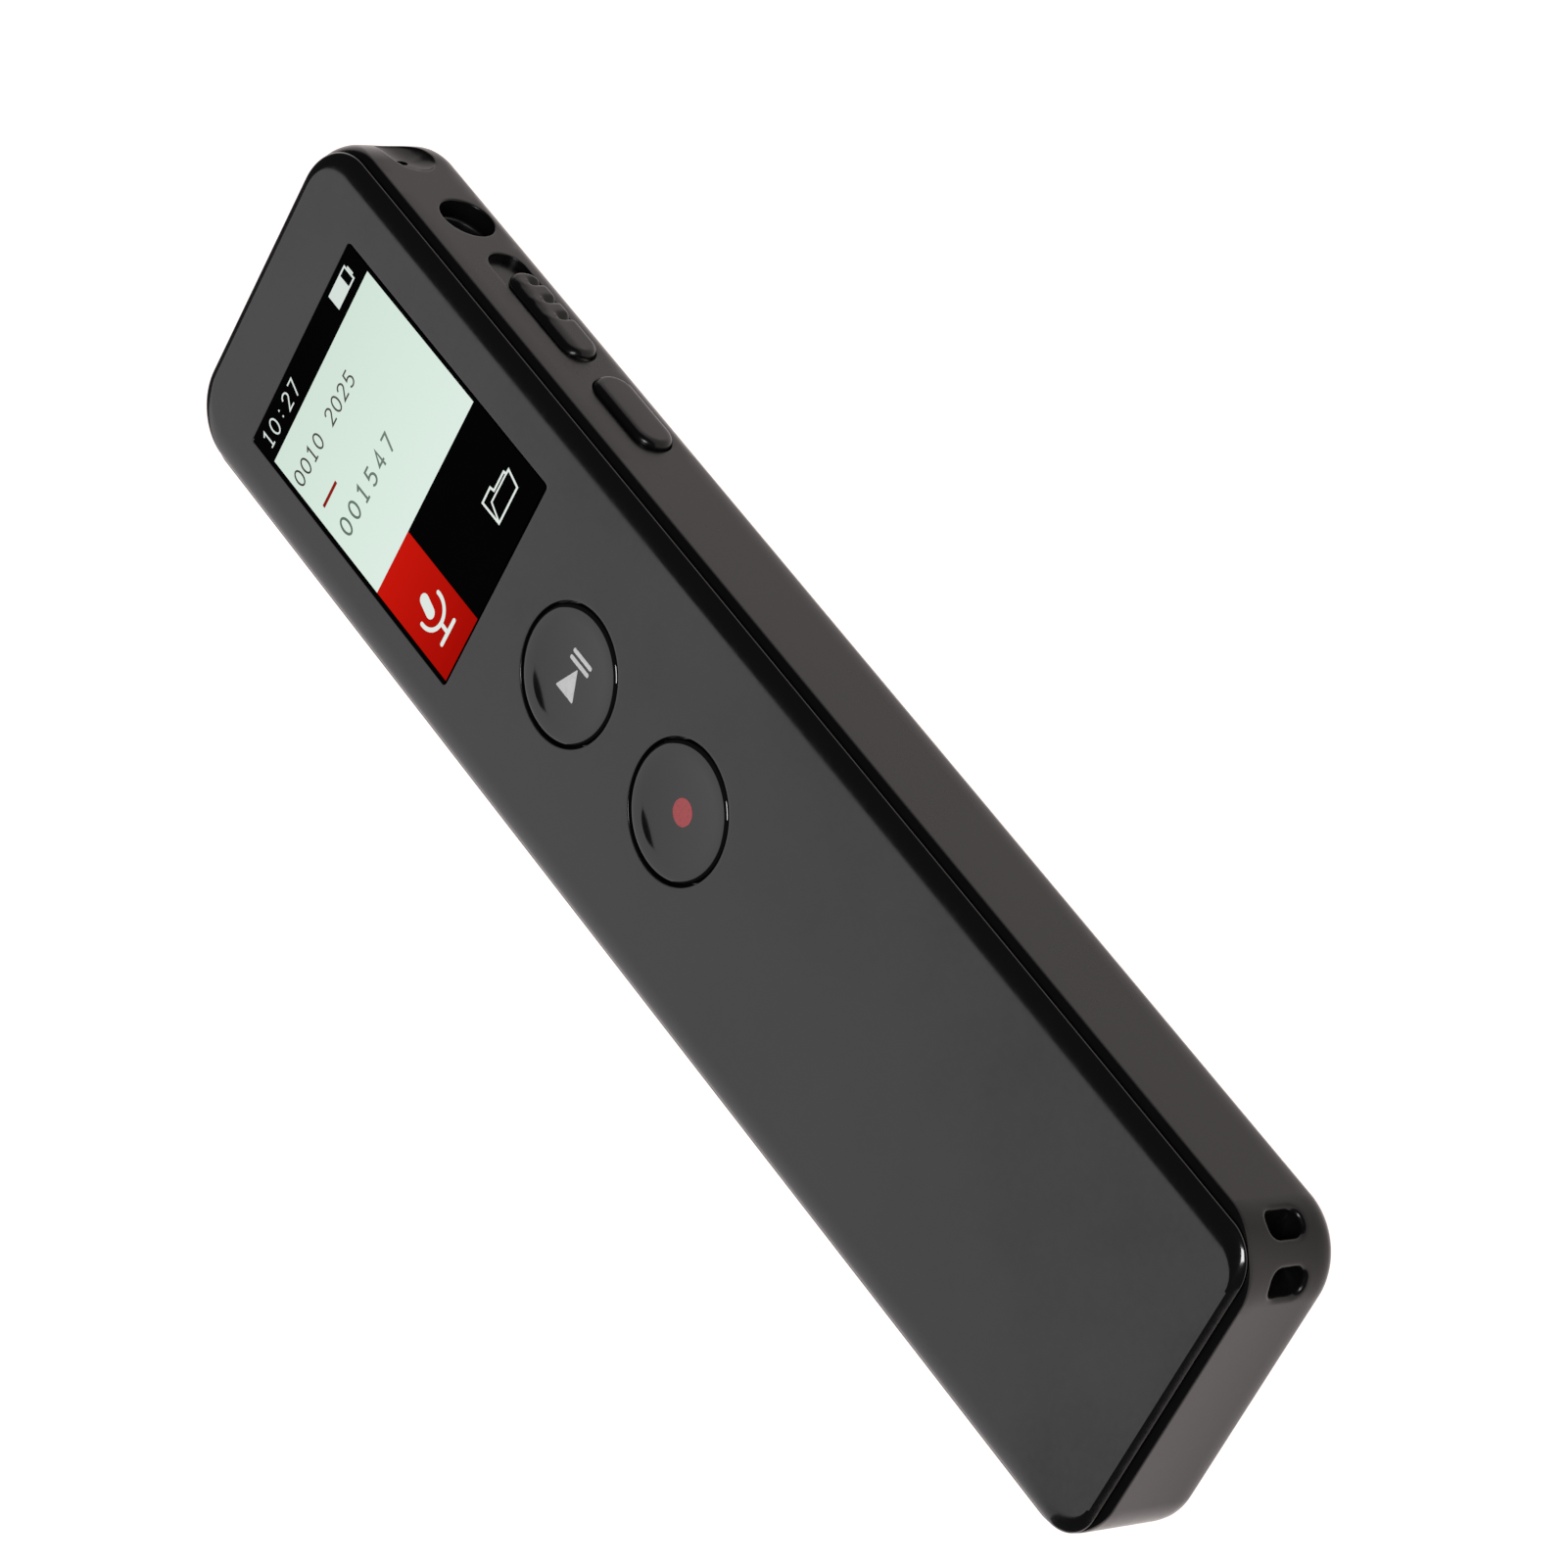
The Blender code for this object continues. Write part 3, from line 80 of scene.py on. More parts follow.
class Finish:
    # a material and the nodes in it

    def __init__(self, name, **fixed):
        self.material = bpy.data.materials.new(name)
        self.material.use_nodes = True
        self.nodes = self.material.node_tree.nodes
        self.links = self.material.node_tree.links
        self.shader = self.nodes["Principled BSDF"]
        for socket, value in fixed.items():
            self.shader.inputs[socket.replace("_", " ")].default_value = value
        self.material.diffuse_color = self.shader.inputs["Base Color"].default_value

    def node(self, kind, settings=None, sockets=None, output=0):
        made = self.nodes.new(kind)
        for name, value in (settings or {}).items():
            setattr(made, name, value)
        for key, value in (sockets or {}).items():
            if isinstance(value, Wire):
                self.links.new(value.socket, made.inputs[key])
            else:
                made.inputs[key].default_value = value
        return Wire(self, made.outputs[output])

    def feed(self, socket, wire):
        self.links.new(wire.socket, self.shader.inputs[socket])

    def place(self):
        return self.node("ShaderNodeTexCoord", output=3)

    def noise(self, scale, detail, rough, at=None):
        sockets = {"Vector": at or self.place(), "Scale": scale, "Detail": detail, "Roughness": rough}
        return self.node("ShaderNodeTexNoise", None, sockets)

    def blend(self, factor, first, second):
        sockets = {0: factor, 6: first, 7: second}
        return self.node("ShaderNodeMix", {"data_type": "RGBA"}, sockets, output=2)

    def spread(self, wire, low, high):
        least, most = 0.3, 0.7  # nearly all of a noise lies between these
        sockets = {"Value": wire, "From Min": least, "From Max": most, "To Min": low, "To Max": high}
        return self.node("ShaderNodeMapRange", None, sockets)

    def bump(self, height, strength, distance):
        self.feed("Normal", self.node("ShaderNodeBump", None, {
            "Strength": strength, "Distance": distance, "Height": height,
        }))


def grey(value, warm=0.0):
    return (value * (1 + warm), value, value * (1 - warm), 1.0)


class Skin:
    # points and faces of one piece while it is being made, in millimetres

    def __init__(self):
        self.points = []
        self.faces = []

    def ring(self, points):
        first = len(self.points)
        self.points.extend(points)
        return list(range(first, len(self.points)))

    def join(self, first, second, closed=True):
        count = len(first)
        for i in range(count if closed else count - 1):
            j = (i + 1) % count
            self.faces.append((first[i], first[j], second[j], second[i]))

    def chain(self, rings, closed=True):
        for first, second in zip(rings, rings[1:]):
            self.join(first, second, closed)

    def cap(self, ring, centre):
        middle = self.ring([centre])[0]
        for i, a in enumerate(ring):
            self.faces.append((a, ring[(i + 1) % len(ring)], middle))

    def fill(self, rings):
        # a flat face bounded by the first ring, with the others as holes in it
        flat = [[Vector((*self.points[i][:2], 0)) for i in ring] for ring in rings]
        order = [i for ring in rings for i in ring]
        for a, b, c in tessellate_polygon(flat):
            self.faces.append((order[a], order[b], order[c]))


def makePiece(name, skin, finish, body="case", stands=(), sharp=38.0):
    weld = 1e-7
    mesh = bpy.data.meshes.new(name)
    mesh.from_pydata([(x * mm, y * mm, z * mm) for x, y, z in skin.points], [], skin.faces)
    shape = bmesh.new()
    shape.from_mesh(mesh)
    bmesh.ops.remove_doubles(shape, verts=shape.verts, dist=weld)
    bmesh.ops.recalc_face_normals(shape, faces=shape.faces)
    shape.to_mesh(mesh)
    shape.free()
    mesh.shade_smooth()
    mesh.set_sharp_from_angle(angle=math.radians(sharp))
    piece = bpy.data.objects.new(name, mesh)
    bpy.context.scene.collection.objects.link(piece)
    mesh.materials.append(finish.material)
    even = piece.modifiers.new("even shading", "WEIGHTED_NORMAL")
    even.keep_sharp = True
    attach(piece, body)
    if stands:
        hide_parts(*stands)


def boxOf(node):
    low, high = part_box(node)
    return low / mm, high / mm


def middleOf(node):
    low, high = boxOf(node)
    return (low + high) / 2


def between(a, b, share):
    return a + (b - a) * share


def circle(radius, steps):
    angles = [2 * math.pi * i / steps for i in range(steps)]
    return [(radius * math.cos(angle), radius * math.sin(angle)) for angle in angles]


def roundedBox(halfWidth, halfHeight, radius, steps):
    points = []
    for turn, (sx, sy) in enumerate(((1, 1), (-1, 1), (-1, -1), (1, -1))):
        for i in range(steps + 1):
            angle = math.pi / 2 * (turn + i / steps)
            x = sx * (halfWidth - radius) + radius * math.cos(angle)
            y = sy * (halfHeight - radius) + radius * math.sin(angle)
            points.append((x, y))
    return points


def quarter(steps, start=0.0):
    # (sine, cosine) pairs through a quarter turn
    angles = [math.pi / 2 * between(start, 1.0, i / steps) for i in range(steps + 1)]
    return [(math.sin(angle), math.cos(angle)) for angle in angles]


caseLow, caseHigh = boxOf("rear_shell")
coverLow, coverHigh = boxOf("front_cover")

caseSize = {
    "top radius": 4.8,
    "bottom radius": 4.2,
    "rim top radius": 3.8,
    "rim bottom radius": 2.6,
    "flat top radius": 2.6,
    "flat bottom radius": 1.6,
    "side curve": 1.52,
    "top curve": 0.6,
    "bottom curve": 0.31,
    "back rounding": 1.5,
    "side shoulder drop": 0.4,
    "top shoulder drop": 1.8,
    "shoulder share": 0.8,
    "band low": 1.1,
    "band high": 6.0,
    "band rows": 10,
    "straight step": 4.0,
    "curved step": 0.3,
    "shoulder steps": 10,
    "groove": ((0.03, 0.01), (0.05, 0.05), (0.08, 0.5), (0.7, 0.5), (0.7, 0.9)),  # inset and drop
    "back margin": 0.4,
}


def outline(side, low, high, name):
    # a rounded rectangle in eight parts, anticlockwise from the low end of the right wall
    return {
        "side": side,
        "low": low,
        "high": high,
        "lowRadius": caseSize[name + "bottom radius"],
        "highRadius": caseSize[name + "top radius"],
    }


wall = outline(caseHigh.x, caseLow.y, caseHigh.y, "")
rim = outline(coverHigh.x, coverLow.y, coverHigh.y, "rim ")
coverFlat = outline(
    coverHigh.x - caseSize["side curve"],
    coverLow.y + caseSize["bottom curve"],
    coverHigh.y - caseSize["top curve"],
    "flat ",
)
rimLevel = 7.38
partingLevel = 7.5
faceLevel = coverHigh.z


def partLengths(o):
    long = o["high"] - o["low"] - o["lowRadius"] - o["highRadius"]
    top = math.pi / 2 * o["highRadius"]
    bottom = math.pi / 2 * o["lowRadius"]
    topEnd = 2 * (o["side"] - o["highRadius"])
    bottomEnd = 2 * (o["side"] - o["lowRadius"])
    return [long, top, topEnd, top, long, bottom, bottomEnd, bottom]


def outlineAt(o, part, share, inset=0.0):
    if part == 0:
        return o["side"] - inset, between(o["low"] + o["lowRadius"], o["high"] - o["highRadius"], share)
    if part == 2:
        return between(1, -1, share) * (o["side"] - o["highRadius"]), o["high"] - inset
    if part == 4:
        return inset - o["side"], between(o["high"] - o["highRadius"], o["low"] + o["lowRadius"], share)
    if part == 6:
        return between(-1, 1, share) * (o["side"] - o["lowRadius"]), o["low"] + inset
    radius = o["highRadius"] if part < 4 else o["lowRadius"]
    middleX = (o["side"] - radius) * (1 if part in (1, 7) else -1)
    middleY = o["high"] - radius if part < 4 else o["low"] + radius
    angle = math.pi / 2 * ((part - 1) / 2 + share)
    return middleX + (radius - inset) * math.cos(angle), middleY + (radius - inset) * math.sin(angle)


wallParts = partLengths(wall)
wallStarts = [sum(wallParts[:i]) for i in range(8)]
wallRound = sum(wallParts)


def locate(s):
    # the part of the wall, and the share of it, at a distance round the wall
    s = s % wallRound
    for part in range(7, -1, -1):
        if s >= wallStarts[part] - 1e-9:
            return part, min((s - wallStarts[part]) / wallParts[part], 1.0)


def backInset(z):
    radius = caseSize["back rounding"]
    if z >= radius:
        return 0.0
    return radius - math.sqrt(max(radius ** 2 - (radius - z) ** 2, 0.0))


def wallPoint(s, z, depth=0.0):
    part, share = locate(s)
    x, y = outlineAt(wall, part, share, backInset(z) + depth)
    return x, y, z


def alongRight(y):
    return y - (wall["low"] + wall["lowRadius"])


def alongLeft(y):
    return wallStarts[4] + (wall["high"] - wall["highRadius"]) - y


menuPlace = middleOf("menu_key")
nextPlace = middleOf("next_key")
previousPlace = middleOf("previous_key")
jackPlace = middleOf("headphone_jack")
portPlace = middleOf("port_shell")
sideLevel = menuPlace.z

openingSize = {
    "key slot half length": 3.48,
    "key slot half width": 1.46,
    "slider slot low": 26.43,
    "slider slot high": 37.13,
    "slider slot half width": 1.37,
    "slider floor": 0.5,
    "slider shelf": 0.67,
    "slider shelf ends": 1.88,
    "slot edge": 0.08,
    "jack radius": 1.85,
    "jack edge": 0.12,
    "port half width": 4.47,
    "port half height": 1.62,
    "port edge": 0.15,
    "mic from arc start": 1.2,
    "mic level": 3.7,
    "mic half length": 2.3,
    "mic half width": 1.9,
    "mic depth": 0.8,
    "mic lip": 0.15,
    "mic port radius": 0.4,
    "mic port depths": (0.25, 0.5),
    "lanyard level": 4.0,
    "lanyard half height": 1.3,
    "lanyard angles": (-24.0, -72.0),
    "lanyard half angles": (12.0, 12.8),
    "lanyard corner": 0.75,
    "lanyard edge": 0.35,
    "lanyard bar": 0.5,
    "tunnel inside": 0.3,
    "tunnel outside": 1.5,
    "tunnel steps": 12,
    "seam": 0.04,
    "wall depth": 1.2,
    "blend": (0.3, 0.58, 0.82),  # from the patch's square edge to the opening's shape
}


def turnedIn(radius, depth, steps=5):
    # offsets and depths of an edge that turns into the wall, then runs in
    loops = [(radius * (1 - s), radius * (1 - c)) for s, c in quarter(steps)]
    return loops + [(0.0, between(radius, depth, 0.5)), (0.0, depth)]


def bowl(radius, longer):
    # a round dimple with a soft lip, down to a small port
    size = openingSize
    lip, depth, port = size["mic lip"], size["mic depth"], size["mic port radius"]
    start = lip * 0.5
    loops = [(lip * (1 - s), start * (1 - c)) for s, c in quarter(4)]
    curve = (radius ** 2 + (depth - start) ** 2) / (2 * (depth - start))
    steps = 10
    for i in range(1, steps + 1):
        far = between(radius, port, i / steps)
        level = depth - curve + math.sqrt(curve ** 2 - far ** 2)
        loops.append((far - radius, level, longer * i / steps))
    return loops + [(port - radius, depth + below, longer) for below in size["mic port depths"]]


def opening(s, z, halfWidth, halfHeight, radius, loops, count, margin=0.75, **more):
    return {
        "s": s, "z": z, "a": halfWidth, "b": halfHeight, "r": radius, "loops": loops, "count": count,
        "from": more.get("start", s - halfWidth - margin),
        "to": more.get("end", s + halfWidth + margin),
    }


def wallOpenings():
    size = openingSize
    deep = size["wall depth"]
    edge = turnedIn(size["slot edge"], deep)
    a, b = size["key slot half length"], size["key slot half width"]
    found = {
        "menu": opening(alongRight(menuPlace.y), menuPlace.z, a, b, b, edge, count=28),
        "next": opening(alongLeft(nextPlace.y), nextPlace.z, a, b, b, edge, count=28),
        "previous": opening(alongLeft(previousPlace.y), previousPlace.z, a, b, b, edge, count=28),
    }

    low, high = size["slider slot low"], size["slider slot high"]
    b = size["slider slot half width"]
    shelf, ends = -size["slider shelf"], size["slider shelf ends"]
    stepped = turnedIn(size["slot edge"], size["slider floor"])
    stepped += [(shelf, size["slider floor"], ends), (shelf, deep, ends)]
    middle, half = alongRight((low + high) / 2), (high - low) / 2
    found["slider"] = opening(middle, sideLevel, half, b, b, stepped, count=36)

    r = size["jack radius"]
    edge = turnedIn(size["jack edge"], deep, 6)
    found["jack"] = opening(alongRight(jackPlace.y), jackPlace.z, r, r, r, edge, count=24)

    a, b = size["port half width"], size["port half height"]
    edge = turnedIn(size["port edge"], deep)
    found["port"] = opening(wallStarts[2] + wallParts[2] / 2, portPlace.z, a, b, b, edge, count=32)

    a, r = size["mic half length"] - size["mic lip"], size["mic half width"] - size["mic lip"]
    inward = size["mic from arc start"]
    for name, s in (("rightMic", wallStarts[1] + inward), ("leftMic", wallStarts[4] - inward)):
        found[name] = opening(s, size["mic level"], a, r, r, bowl(r, a - r), count=30, margin=0.3)

    radius = wall["lowRadius"]
    places = [wallStarts[7] + radius * math.radians(90 + angle) for angle in size["lanyard angles"]]
    halves = [radius * math.radians(half) for half in size["lanyard half angles"]]
    split = (places[0] - halves[0] + places[1] + halves[1]) / 2
    spans = ((split, wallRound - size["seam"]), (2 * places[1] - split, split))
    edge = turnedIn(size["lanyard edge"], size["lanyard bar"], 6)
    for name, s, half, (start, end) in zip(("sideLanyard", "endLanyard"), places, halves, spans):
        found[name] = opening(s, size["lanyard level"], half, size["lanyard half height"],
                              size["lanyard corner"], edge, count=22, start=start, end=end)
    return found


def wallColumns(openings):
    # places round the wall where the columns of points stand, shared by every ring
    columns = []
    spans = sorted(openings.values(), key=lambda each: each["from"])
    edges = [0.0] + [edge for each in spans for edge in (each["from"], each["to"])] + [wallRound]
    for number in range(0, len(edges), 2):
        start, end = edges[number], edges[number + 1]
        stops = [start] + [mark for mark in wallStarts if start + 1e-6 < mark < end - 1e-6] + [end]
        for a, b in zip(stops, stops[1:]):
            curved = locate((a + b) / 2)[0] % 2 == 1
            steps = max(1, math.ceil((b - a) / caseSize["curved step" if curved else "straight step"]))
            columns += [between(a, b, i / steps) for i in range(steps)]
        if number // 2 < len(spans):
            each = spans[number // 2]
            each["first"] = len(columns)
            columns += [between(each["from"], each["to"], i / each["count"]) for i in range(each["count"])]
            each["last"] = len(columns)
    return columns


def shoulderDrop(y):
    share = min(max((y - (wall["high"] - wall["highRadius"])) / wall["highRadius"], 0.0), 1.0)
    share = share * share * (3 - 2 * share)
    return between(caseSize["side shoulder drop"], caseSize["top shoulder drop"], share)


def openingLoops(skin, each, edge, places):
    # rings from the edge of the opening's patch of wall down into the opening
    a, b, r = each["a"], each["b"], each["r"]
    offset = each["loops"][0][0]
    spread = []
    for s, z in places:
        u, v = s - each["s"], z - each["z"]
        left, right = each["s"] - each["from"], each["to"] - each["s"]
        down, up = each["z"] - caseSize["band low"], caseSize["band high"] - each["z"]
        spread.append((u, v, u / (right if u > 0 else left), v / (up if v > 0 else down)))

    def onShape(p, q, grow, shorter=0.0):
        # the same share of the way out, on the opening's own rounded shape
        wide, tall, corner = a + grow - shorter, b + grow, max(r + grow, 1e-4)
        x, y = p * wide, q * tall
        cx, cy = wide - corner, tall - corner
        if abs(x) > cx and abs(y) > cy:
            dx, dy = abs(x) - cx, abs(y) - cy
            far = math.hypot(dx, dy) or 1.0
            x = math.copysign(cx + corner * dx / far, x)
            y = math.copysign(cy + corner * dy / far, y)
        return x, y

    rings = [edge]
    for share in openingSize["blend"]:
        ring = []
        for u, v, p, q in spread:
            x, y = onShape(p, q, offset)
            ring.append(wallPoint(each["s"] + between(u, x, share), each["z"] + between(v, y, share)))
        rings.append(skin.ring(ring))
    for grow, depth, *shorter in each["loops"]:
        ring = []
        for u, v, p, q in spread:
            x, y = onShape(p, q, grow, *shorter)
            ring.append(wallPoint(each["s"] + x, each["z"] + y, depth))
        rings.append(skin.ring(ring))
    skin.chain(rings)
    return rings[-1]


def lanyardTunnel(skin, first, second):
    # the two lanyard holes meet behind a bar that follows the corner
    size = openingSize
    a1, a2 = [math.radians(angle) for angle in size["lanyard angles"]]
    h1, h2 = [math.radians(half) for half in size["lanyard half angles"]]
    radius = wall["lowRadius"]
    middleX, middleY = wall["side"] - radius, wall["low"] + radius
    rings = [first]
    steps = size["tunnel steps"]
    for step in range(1, steps):
        turn = math.pi * step / steps
        ring = []
        for i in first:
            x, y, z = skin.points[i]
            angle = math.atan2(y - middleY, x - middleX)
            w = (angle - a1) / h1
            half = between(h1, h2, step / steps)
            at = (a1 + a2) / 2 + ((a1 - a2) / 2 + w * half) * math.cos(turn)
            deeper = size["tunnel inside"] + (w + 1) / 2 * size["tunnel outside"]
            far = radius - (size["lanyard bar"] + deeper * math.sin(turn))
            ring.append((middleX + far * math.cos(at), middleY + far * math.sin(at), z))
        rings.append(skin.ring(ring))
    rings.append(second)
    skin.chain(rings)


def outlineRing(skin, shape, places, inset, level):
    return skin.ring([(*outlineAt(shape, part, share, inset), level) for part, share in places])


def makeShell(finish):
    skin = Skin()
    openings = wallOpenings()
    columns = wallColumns(openings)
    places = [locate(s) for s in columns]
    count = len(columns)
    rows = caseSize["band rows"]
    levels = [between(caseSize["band low"], caseSize["band high"], i / rows) for i in range(rows + 1)]
    spans = [(each["first"], each["last"]) for each in openings.values()]
    within = {column for first, last in spans for column in range(first + 1, last)}
    covered = {column for first, last in spans for column in range(first, last)}
    grid = {}
    for row, z in enumerate(levels):
        for column, s in enumerate(columns):
            if row in (0, rows) or column not in within:
                grid[column, row] = skin.ring([wallPoint(s, z)])[0]
    for row in range(rows):
        for column in range(count):
            if column not in covered:
                after = (column + 1) % count
                corners = ((column, row), (after, row), (after, row + 1), (column, row + 1))
                skin.faces.append(tuple(grid[corner] for corner in corners))

    ends = {}
    for name, each in openings.items():
        first, last = each["first"], each["last"]
        keys = [(column, 0) for column in range(first, last)]
        keys += [(last, row) for row in range(rows)]
        keys += [(column, rows) for column in range(last, first, -1)]
        keys += [(first, row) for row in range(rows, 0, -1)]
        if name == "endLanyard":
            keys = [(first + last - column, row) for column, row in keys]
        edge = [grid[column % count, row] for column, row in keys]
        spots = [(columns[column] if column < count else wallRound, levels[row]) for column, row in keys]
        ends[name] = openingLoops(skin, each, edge, spots)
    lanyardTunnel(skin, ends["sideLanyard"], ends["endLanyard"])

    # up over the shoulder to the rim, and in to the groove under the cover
    rings = [[grid[column, rows] for column in range(count)]]
    steps = caseSize["shoulder steps"]
    last = math.pi / 2 * caseSize["shoulder share"]
    for step in range(steps + 1):
        # part of a quarter ellipse, so the shoulder still slopes where it meets the groove
        inward = (1 - math.cos(last * step / steps)) / (1 - math.cos(last))
        upward = math.sin(last * step / steps) / math.sin(last)
        ring = []
        for part, share in places:
            wx, wy = outlineAt(wall, part, share)
            rx, ry = outlineAt(rim, part, share)
            level = rimLevel - shoulderDrop(wy) * (1 - upward)
            ring.append((between(wx, rx, inward), between(wy, ry, inward), level))
        rings.append(skin.ring(ring))
    for inset, drop in caseSize["groove"]:
        rings.append(outlineRing(skin, rim, places, inset, rimLevel - drop))
    skin.chain(rings)

    # down round the back edge, and across the back
    radius = caseSize["back rounding"]
    start = math.asin((radius - caseSize["band low"]) / radius) / (math.pi / 2)
    rings = [[grid[column, 0] for column in range(count)]]
    for sine, cosine in quarter(8, start)[1:]:
        rings.append(outlineRing(skin, wall, places, radius * (1 - cosine), radius * (1 - sine)))
    rings.append(outlineRing(skin, wall, places, radius + caseSize["back margin"], 0.0))
    skin.chain(rings)
    skin.fill([rings[-1]] + backOpenings(skin))
    makePiece("rearShell", skin, finish, stands=["rear_shell"])


backSize = {
    "grille slots": 5,
    "grille pitch": 2.0,
    "grille half width": 0.4,
    "grille half length": 3.5,
    "screw pocket": 1.35,
    "screw seat": 0.62,
    "screw hole": 0.8,
    "back wall": 0.9,
    "edge": 0.12,
    "flat ring": 0.15,
}


def backOpenings(skin):
    # the speaker slots and the screw pockets; gives the rings that the back face stops at
    size = backSize
    edge = size["edge"]
    outermost = (edge + size["flat ring"], 0.0)
    speaker = middleOf("speaker_frame")
    rims = []
    for number in range(size["grille slots"]):
        x = (number - (size["grille slots"] - 1) / 2) * size["grille pitch"]
        rings = []
        for grow, level in [outermost] + turnedIn(edge, size["back wall"], 4):
            half = size["grille half width"] + grow
            radius = half - 1e-3  # a hair under half, so that no two points fall together
            shape = roundedBox(half, size["grille half length"] + grow, radius, 8)
            rings.append(skin.ring([(x + u, speaker.y + v, level) for u, v in shape]))
        skin.chain(rings)
        rims.append(rings[0])
    for node in ("case_screw_1", "case_screw_2"):
        place = middleOf(node)
        seat = boxOf(node)[0].z + size["screw seat"]
        steps = [outermost] + turnedIn(edge, seat, 4)
        loops = [(size["screw pocket"] + grow, level) for grow, level in steps]
        rings = []
        for radius, level in loops + [(size["screw hole"], seat)]:
            rings.append(skin.ring([(place.x + u, place.y + v, level) for u, v in circle(radius, 48)]))
        skin.chain(rings)
        rims.append(rings[0])
    return rims


coverSize = {
    "thickness": 0.8,
    "window gap": 0.1,
    "key hole radius": 4.45,
    "hole edge": 0.05,
    "bottom edge": 0.025,
    "flat margin": 0.15,
    "end slope": 0.39,
    "end turn": 8,
    "chamfer power": 1.2,
    "bevel steps": 16,
    "columns": (30, 20, 14, 20, 30, 20, 14, 20),  # on each of the outline's eight parts
    "skirt": (0.62, 0.66),
    "skirt drop": 0.03,
    "window corner": 0.3,
}


def makeCover(finish):
    size = coverSize
    skin = Skin()
    places = [(part, i / count) for part, count in enumerate(size["columns"]) for i in range(count)]
    rings = [outlineRing(skin, coverFlat, places, size["flat margin"], faceLevel)]
    rise = faceLevel - partingLevel
    for sine, cosine in quarter(size["bevel steps"]):
        ring = []
        for part, share in places:
            fx, fy = outlineAt(coverFlat, part, share)
            rx, ry = outlineAt(rim, part, share)
            # round on the sides, a flat slope then a tighter turn at the top, a chamfer at the bottom
            sloped = size["end slope"]
            flatter = sloped * sine + (1 - sloped) * (1 - math.sqrt(1 - sine ** size["end turn"]))
            topness = {1: share, 2: 1.0, 3: 1 - share}.get(part, 0.0)
            lowness = {5: share, 6: 1.0, 7: 1 - share}.get(part, 0.0)
            fall = between(between(1 - cosine, flatter, topness), sine ** size["chamfer power"], lowness)
            # the curve stops short of the bottom, where a small edge takes over
            level = faceLevel - (rise - size["bottom edge"]) * fall
            ring.append((between(fx, rx, sine), between(fy, ry, sine), level))
        rings.append(skin.ring(ring))
    small = size["bottom edge"]
    for sine, cosine in quarter(4)[1:]:
        level = partingLevel + small * (1 - sine)
        rings.append(outlineRing(skin, rim, places, small * (1 - cosine), level))
    outer, inner = size["skirt"]
    levels = (partingLevel, partingLevel - size["skirt drop"], faceLevel - size["thickness"])
    for inset, level in zip((outer, inner, inner), levels):
        rings.append(outlineRing(skin, rim, places, inset, level))
    skin.chain(rings)

    shapes = []
    low, high = boxOf("display_window")
    half = (high - low) / 2
    gap = size["window gap"]
    shapes.append(((low + high) / 2, lambda grow: roundedBox(
        half.x + gap + grow, half.y + gap + grow, size["window corner"] + grow, 6,
    )))
    for node in ("play_key", "record_key"):
        shapes.append((middleOf(node), lambda grow: circle(size["key hole radius"] + grow, 128)))
    tops, bottoms = [], []
    for place, shape in shapes:
        edge = size["hole edge"]
        walls = []
        deep = size["thickness"]
        margin = size["flat margin"]
        for grow, depth in [(edge + margin, 0.0)] + turnedIn(edge, deep, 4) + [(margin, deep)]:
            level = faceLevel - depth
            walls.append(skin.ring([(place.x + u, place.y + v, level) for u, v in shape(grow)]))
        skin.chain(walls)
        tops.append(walls[0])
        bottoms.append(walls[-1])
    skin.fill([rings[0]] + tops)
    skin.fill([rings[-1]] + bottoms)
    makePiece("frontCover", skin, finish, stands=["front_cover"])


screenSize = {
    "window top": 7.965,
    "window edge": 0.03,
    "window corner": 0.25,
    "layer": 0.008,
    "up": 0.22,
    "left": -8.13,
    "right": 6.9,
    "pale top": 41.62,
    "pale low": 28.7,
    "red right": -3.24,
    "red low": 20.28,
    "red gap": 0.01,
    "dash": (-7.26, 35.9, -5.26, 36.15),
}

# rows of digits: text, left, low, height, pitch, stroke
screenRows = {
    "clock": ("10:27", -7.75, 42.27, 1.3, 1.02, 0.12),
    "first": ("0010 2025", -7.7, 38.35, 1.25, 0.985, 0.13),
    "second": ("001547", -7.2, 32.85, 1.4, 1.32, 0.17),
}

iconSize = {
    "battery": (3.4, 42.4, 5.75, 43.6),
    "battery stroke": 0.14,
    "battery charge": 5.05,
    "battery cap": (5.84, 42.65, 5.98, 43.35),
    "folder": [
        (2.62, 24.25), (3.8, 24.28), (3.88, 23.88), (5.35, 23.88),
        (5.4, 23.62), (5.75, 23.6), (5.4, 22.3), (2.62, 22.28),
    ],
    "folder stroke": 0.16,
    "flap": [(2.68, 22.35), (3.2, 23.62), (5.4, 23.62)],
    "flap share": 0.85,
    "mic head": [(-5.54, 24.88), (-5.8, 23.98)],
    "mic head stroke": 0.86,
    "mic cradle": (-5.6, 24.05, 1.27, 1.27, 5, -185, 20),
    "mic stem": [(-5.65, 22.85), (-5.7, 21.95)],
    "mic foot": [(-6.62, 21.93), (-4.72, 21.93)],
    "mic stroke": 0.3,
}


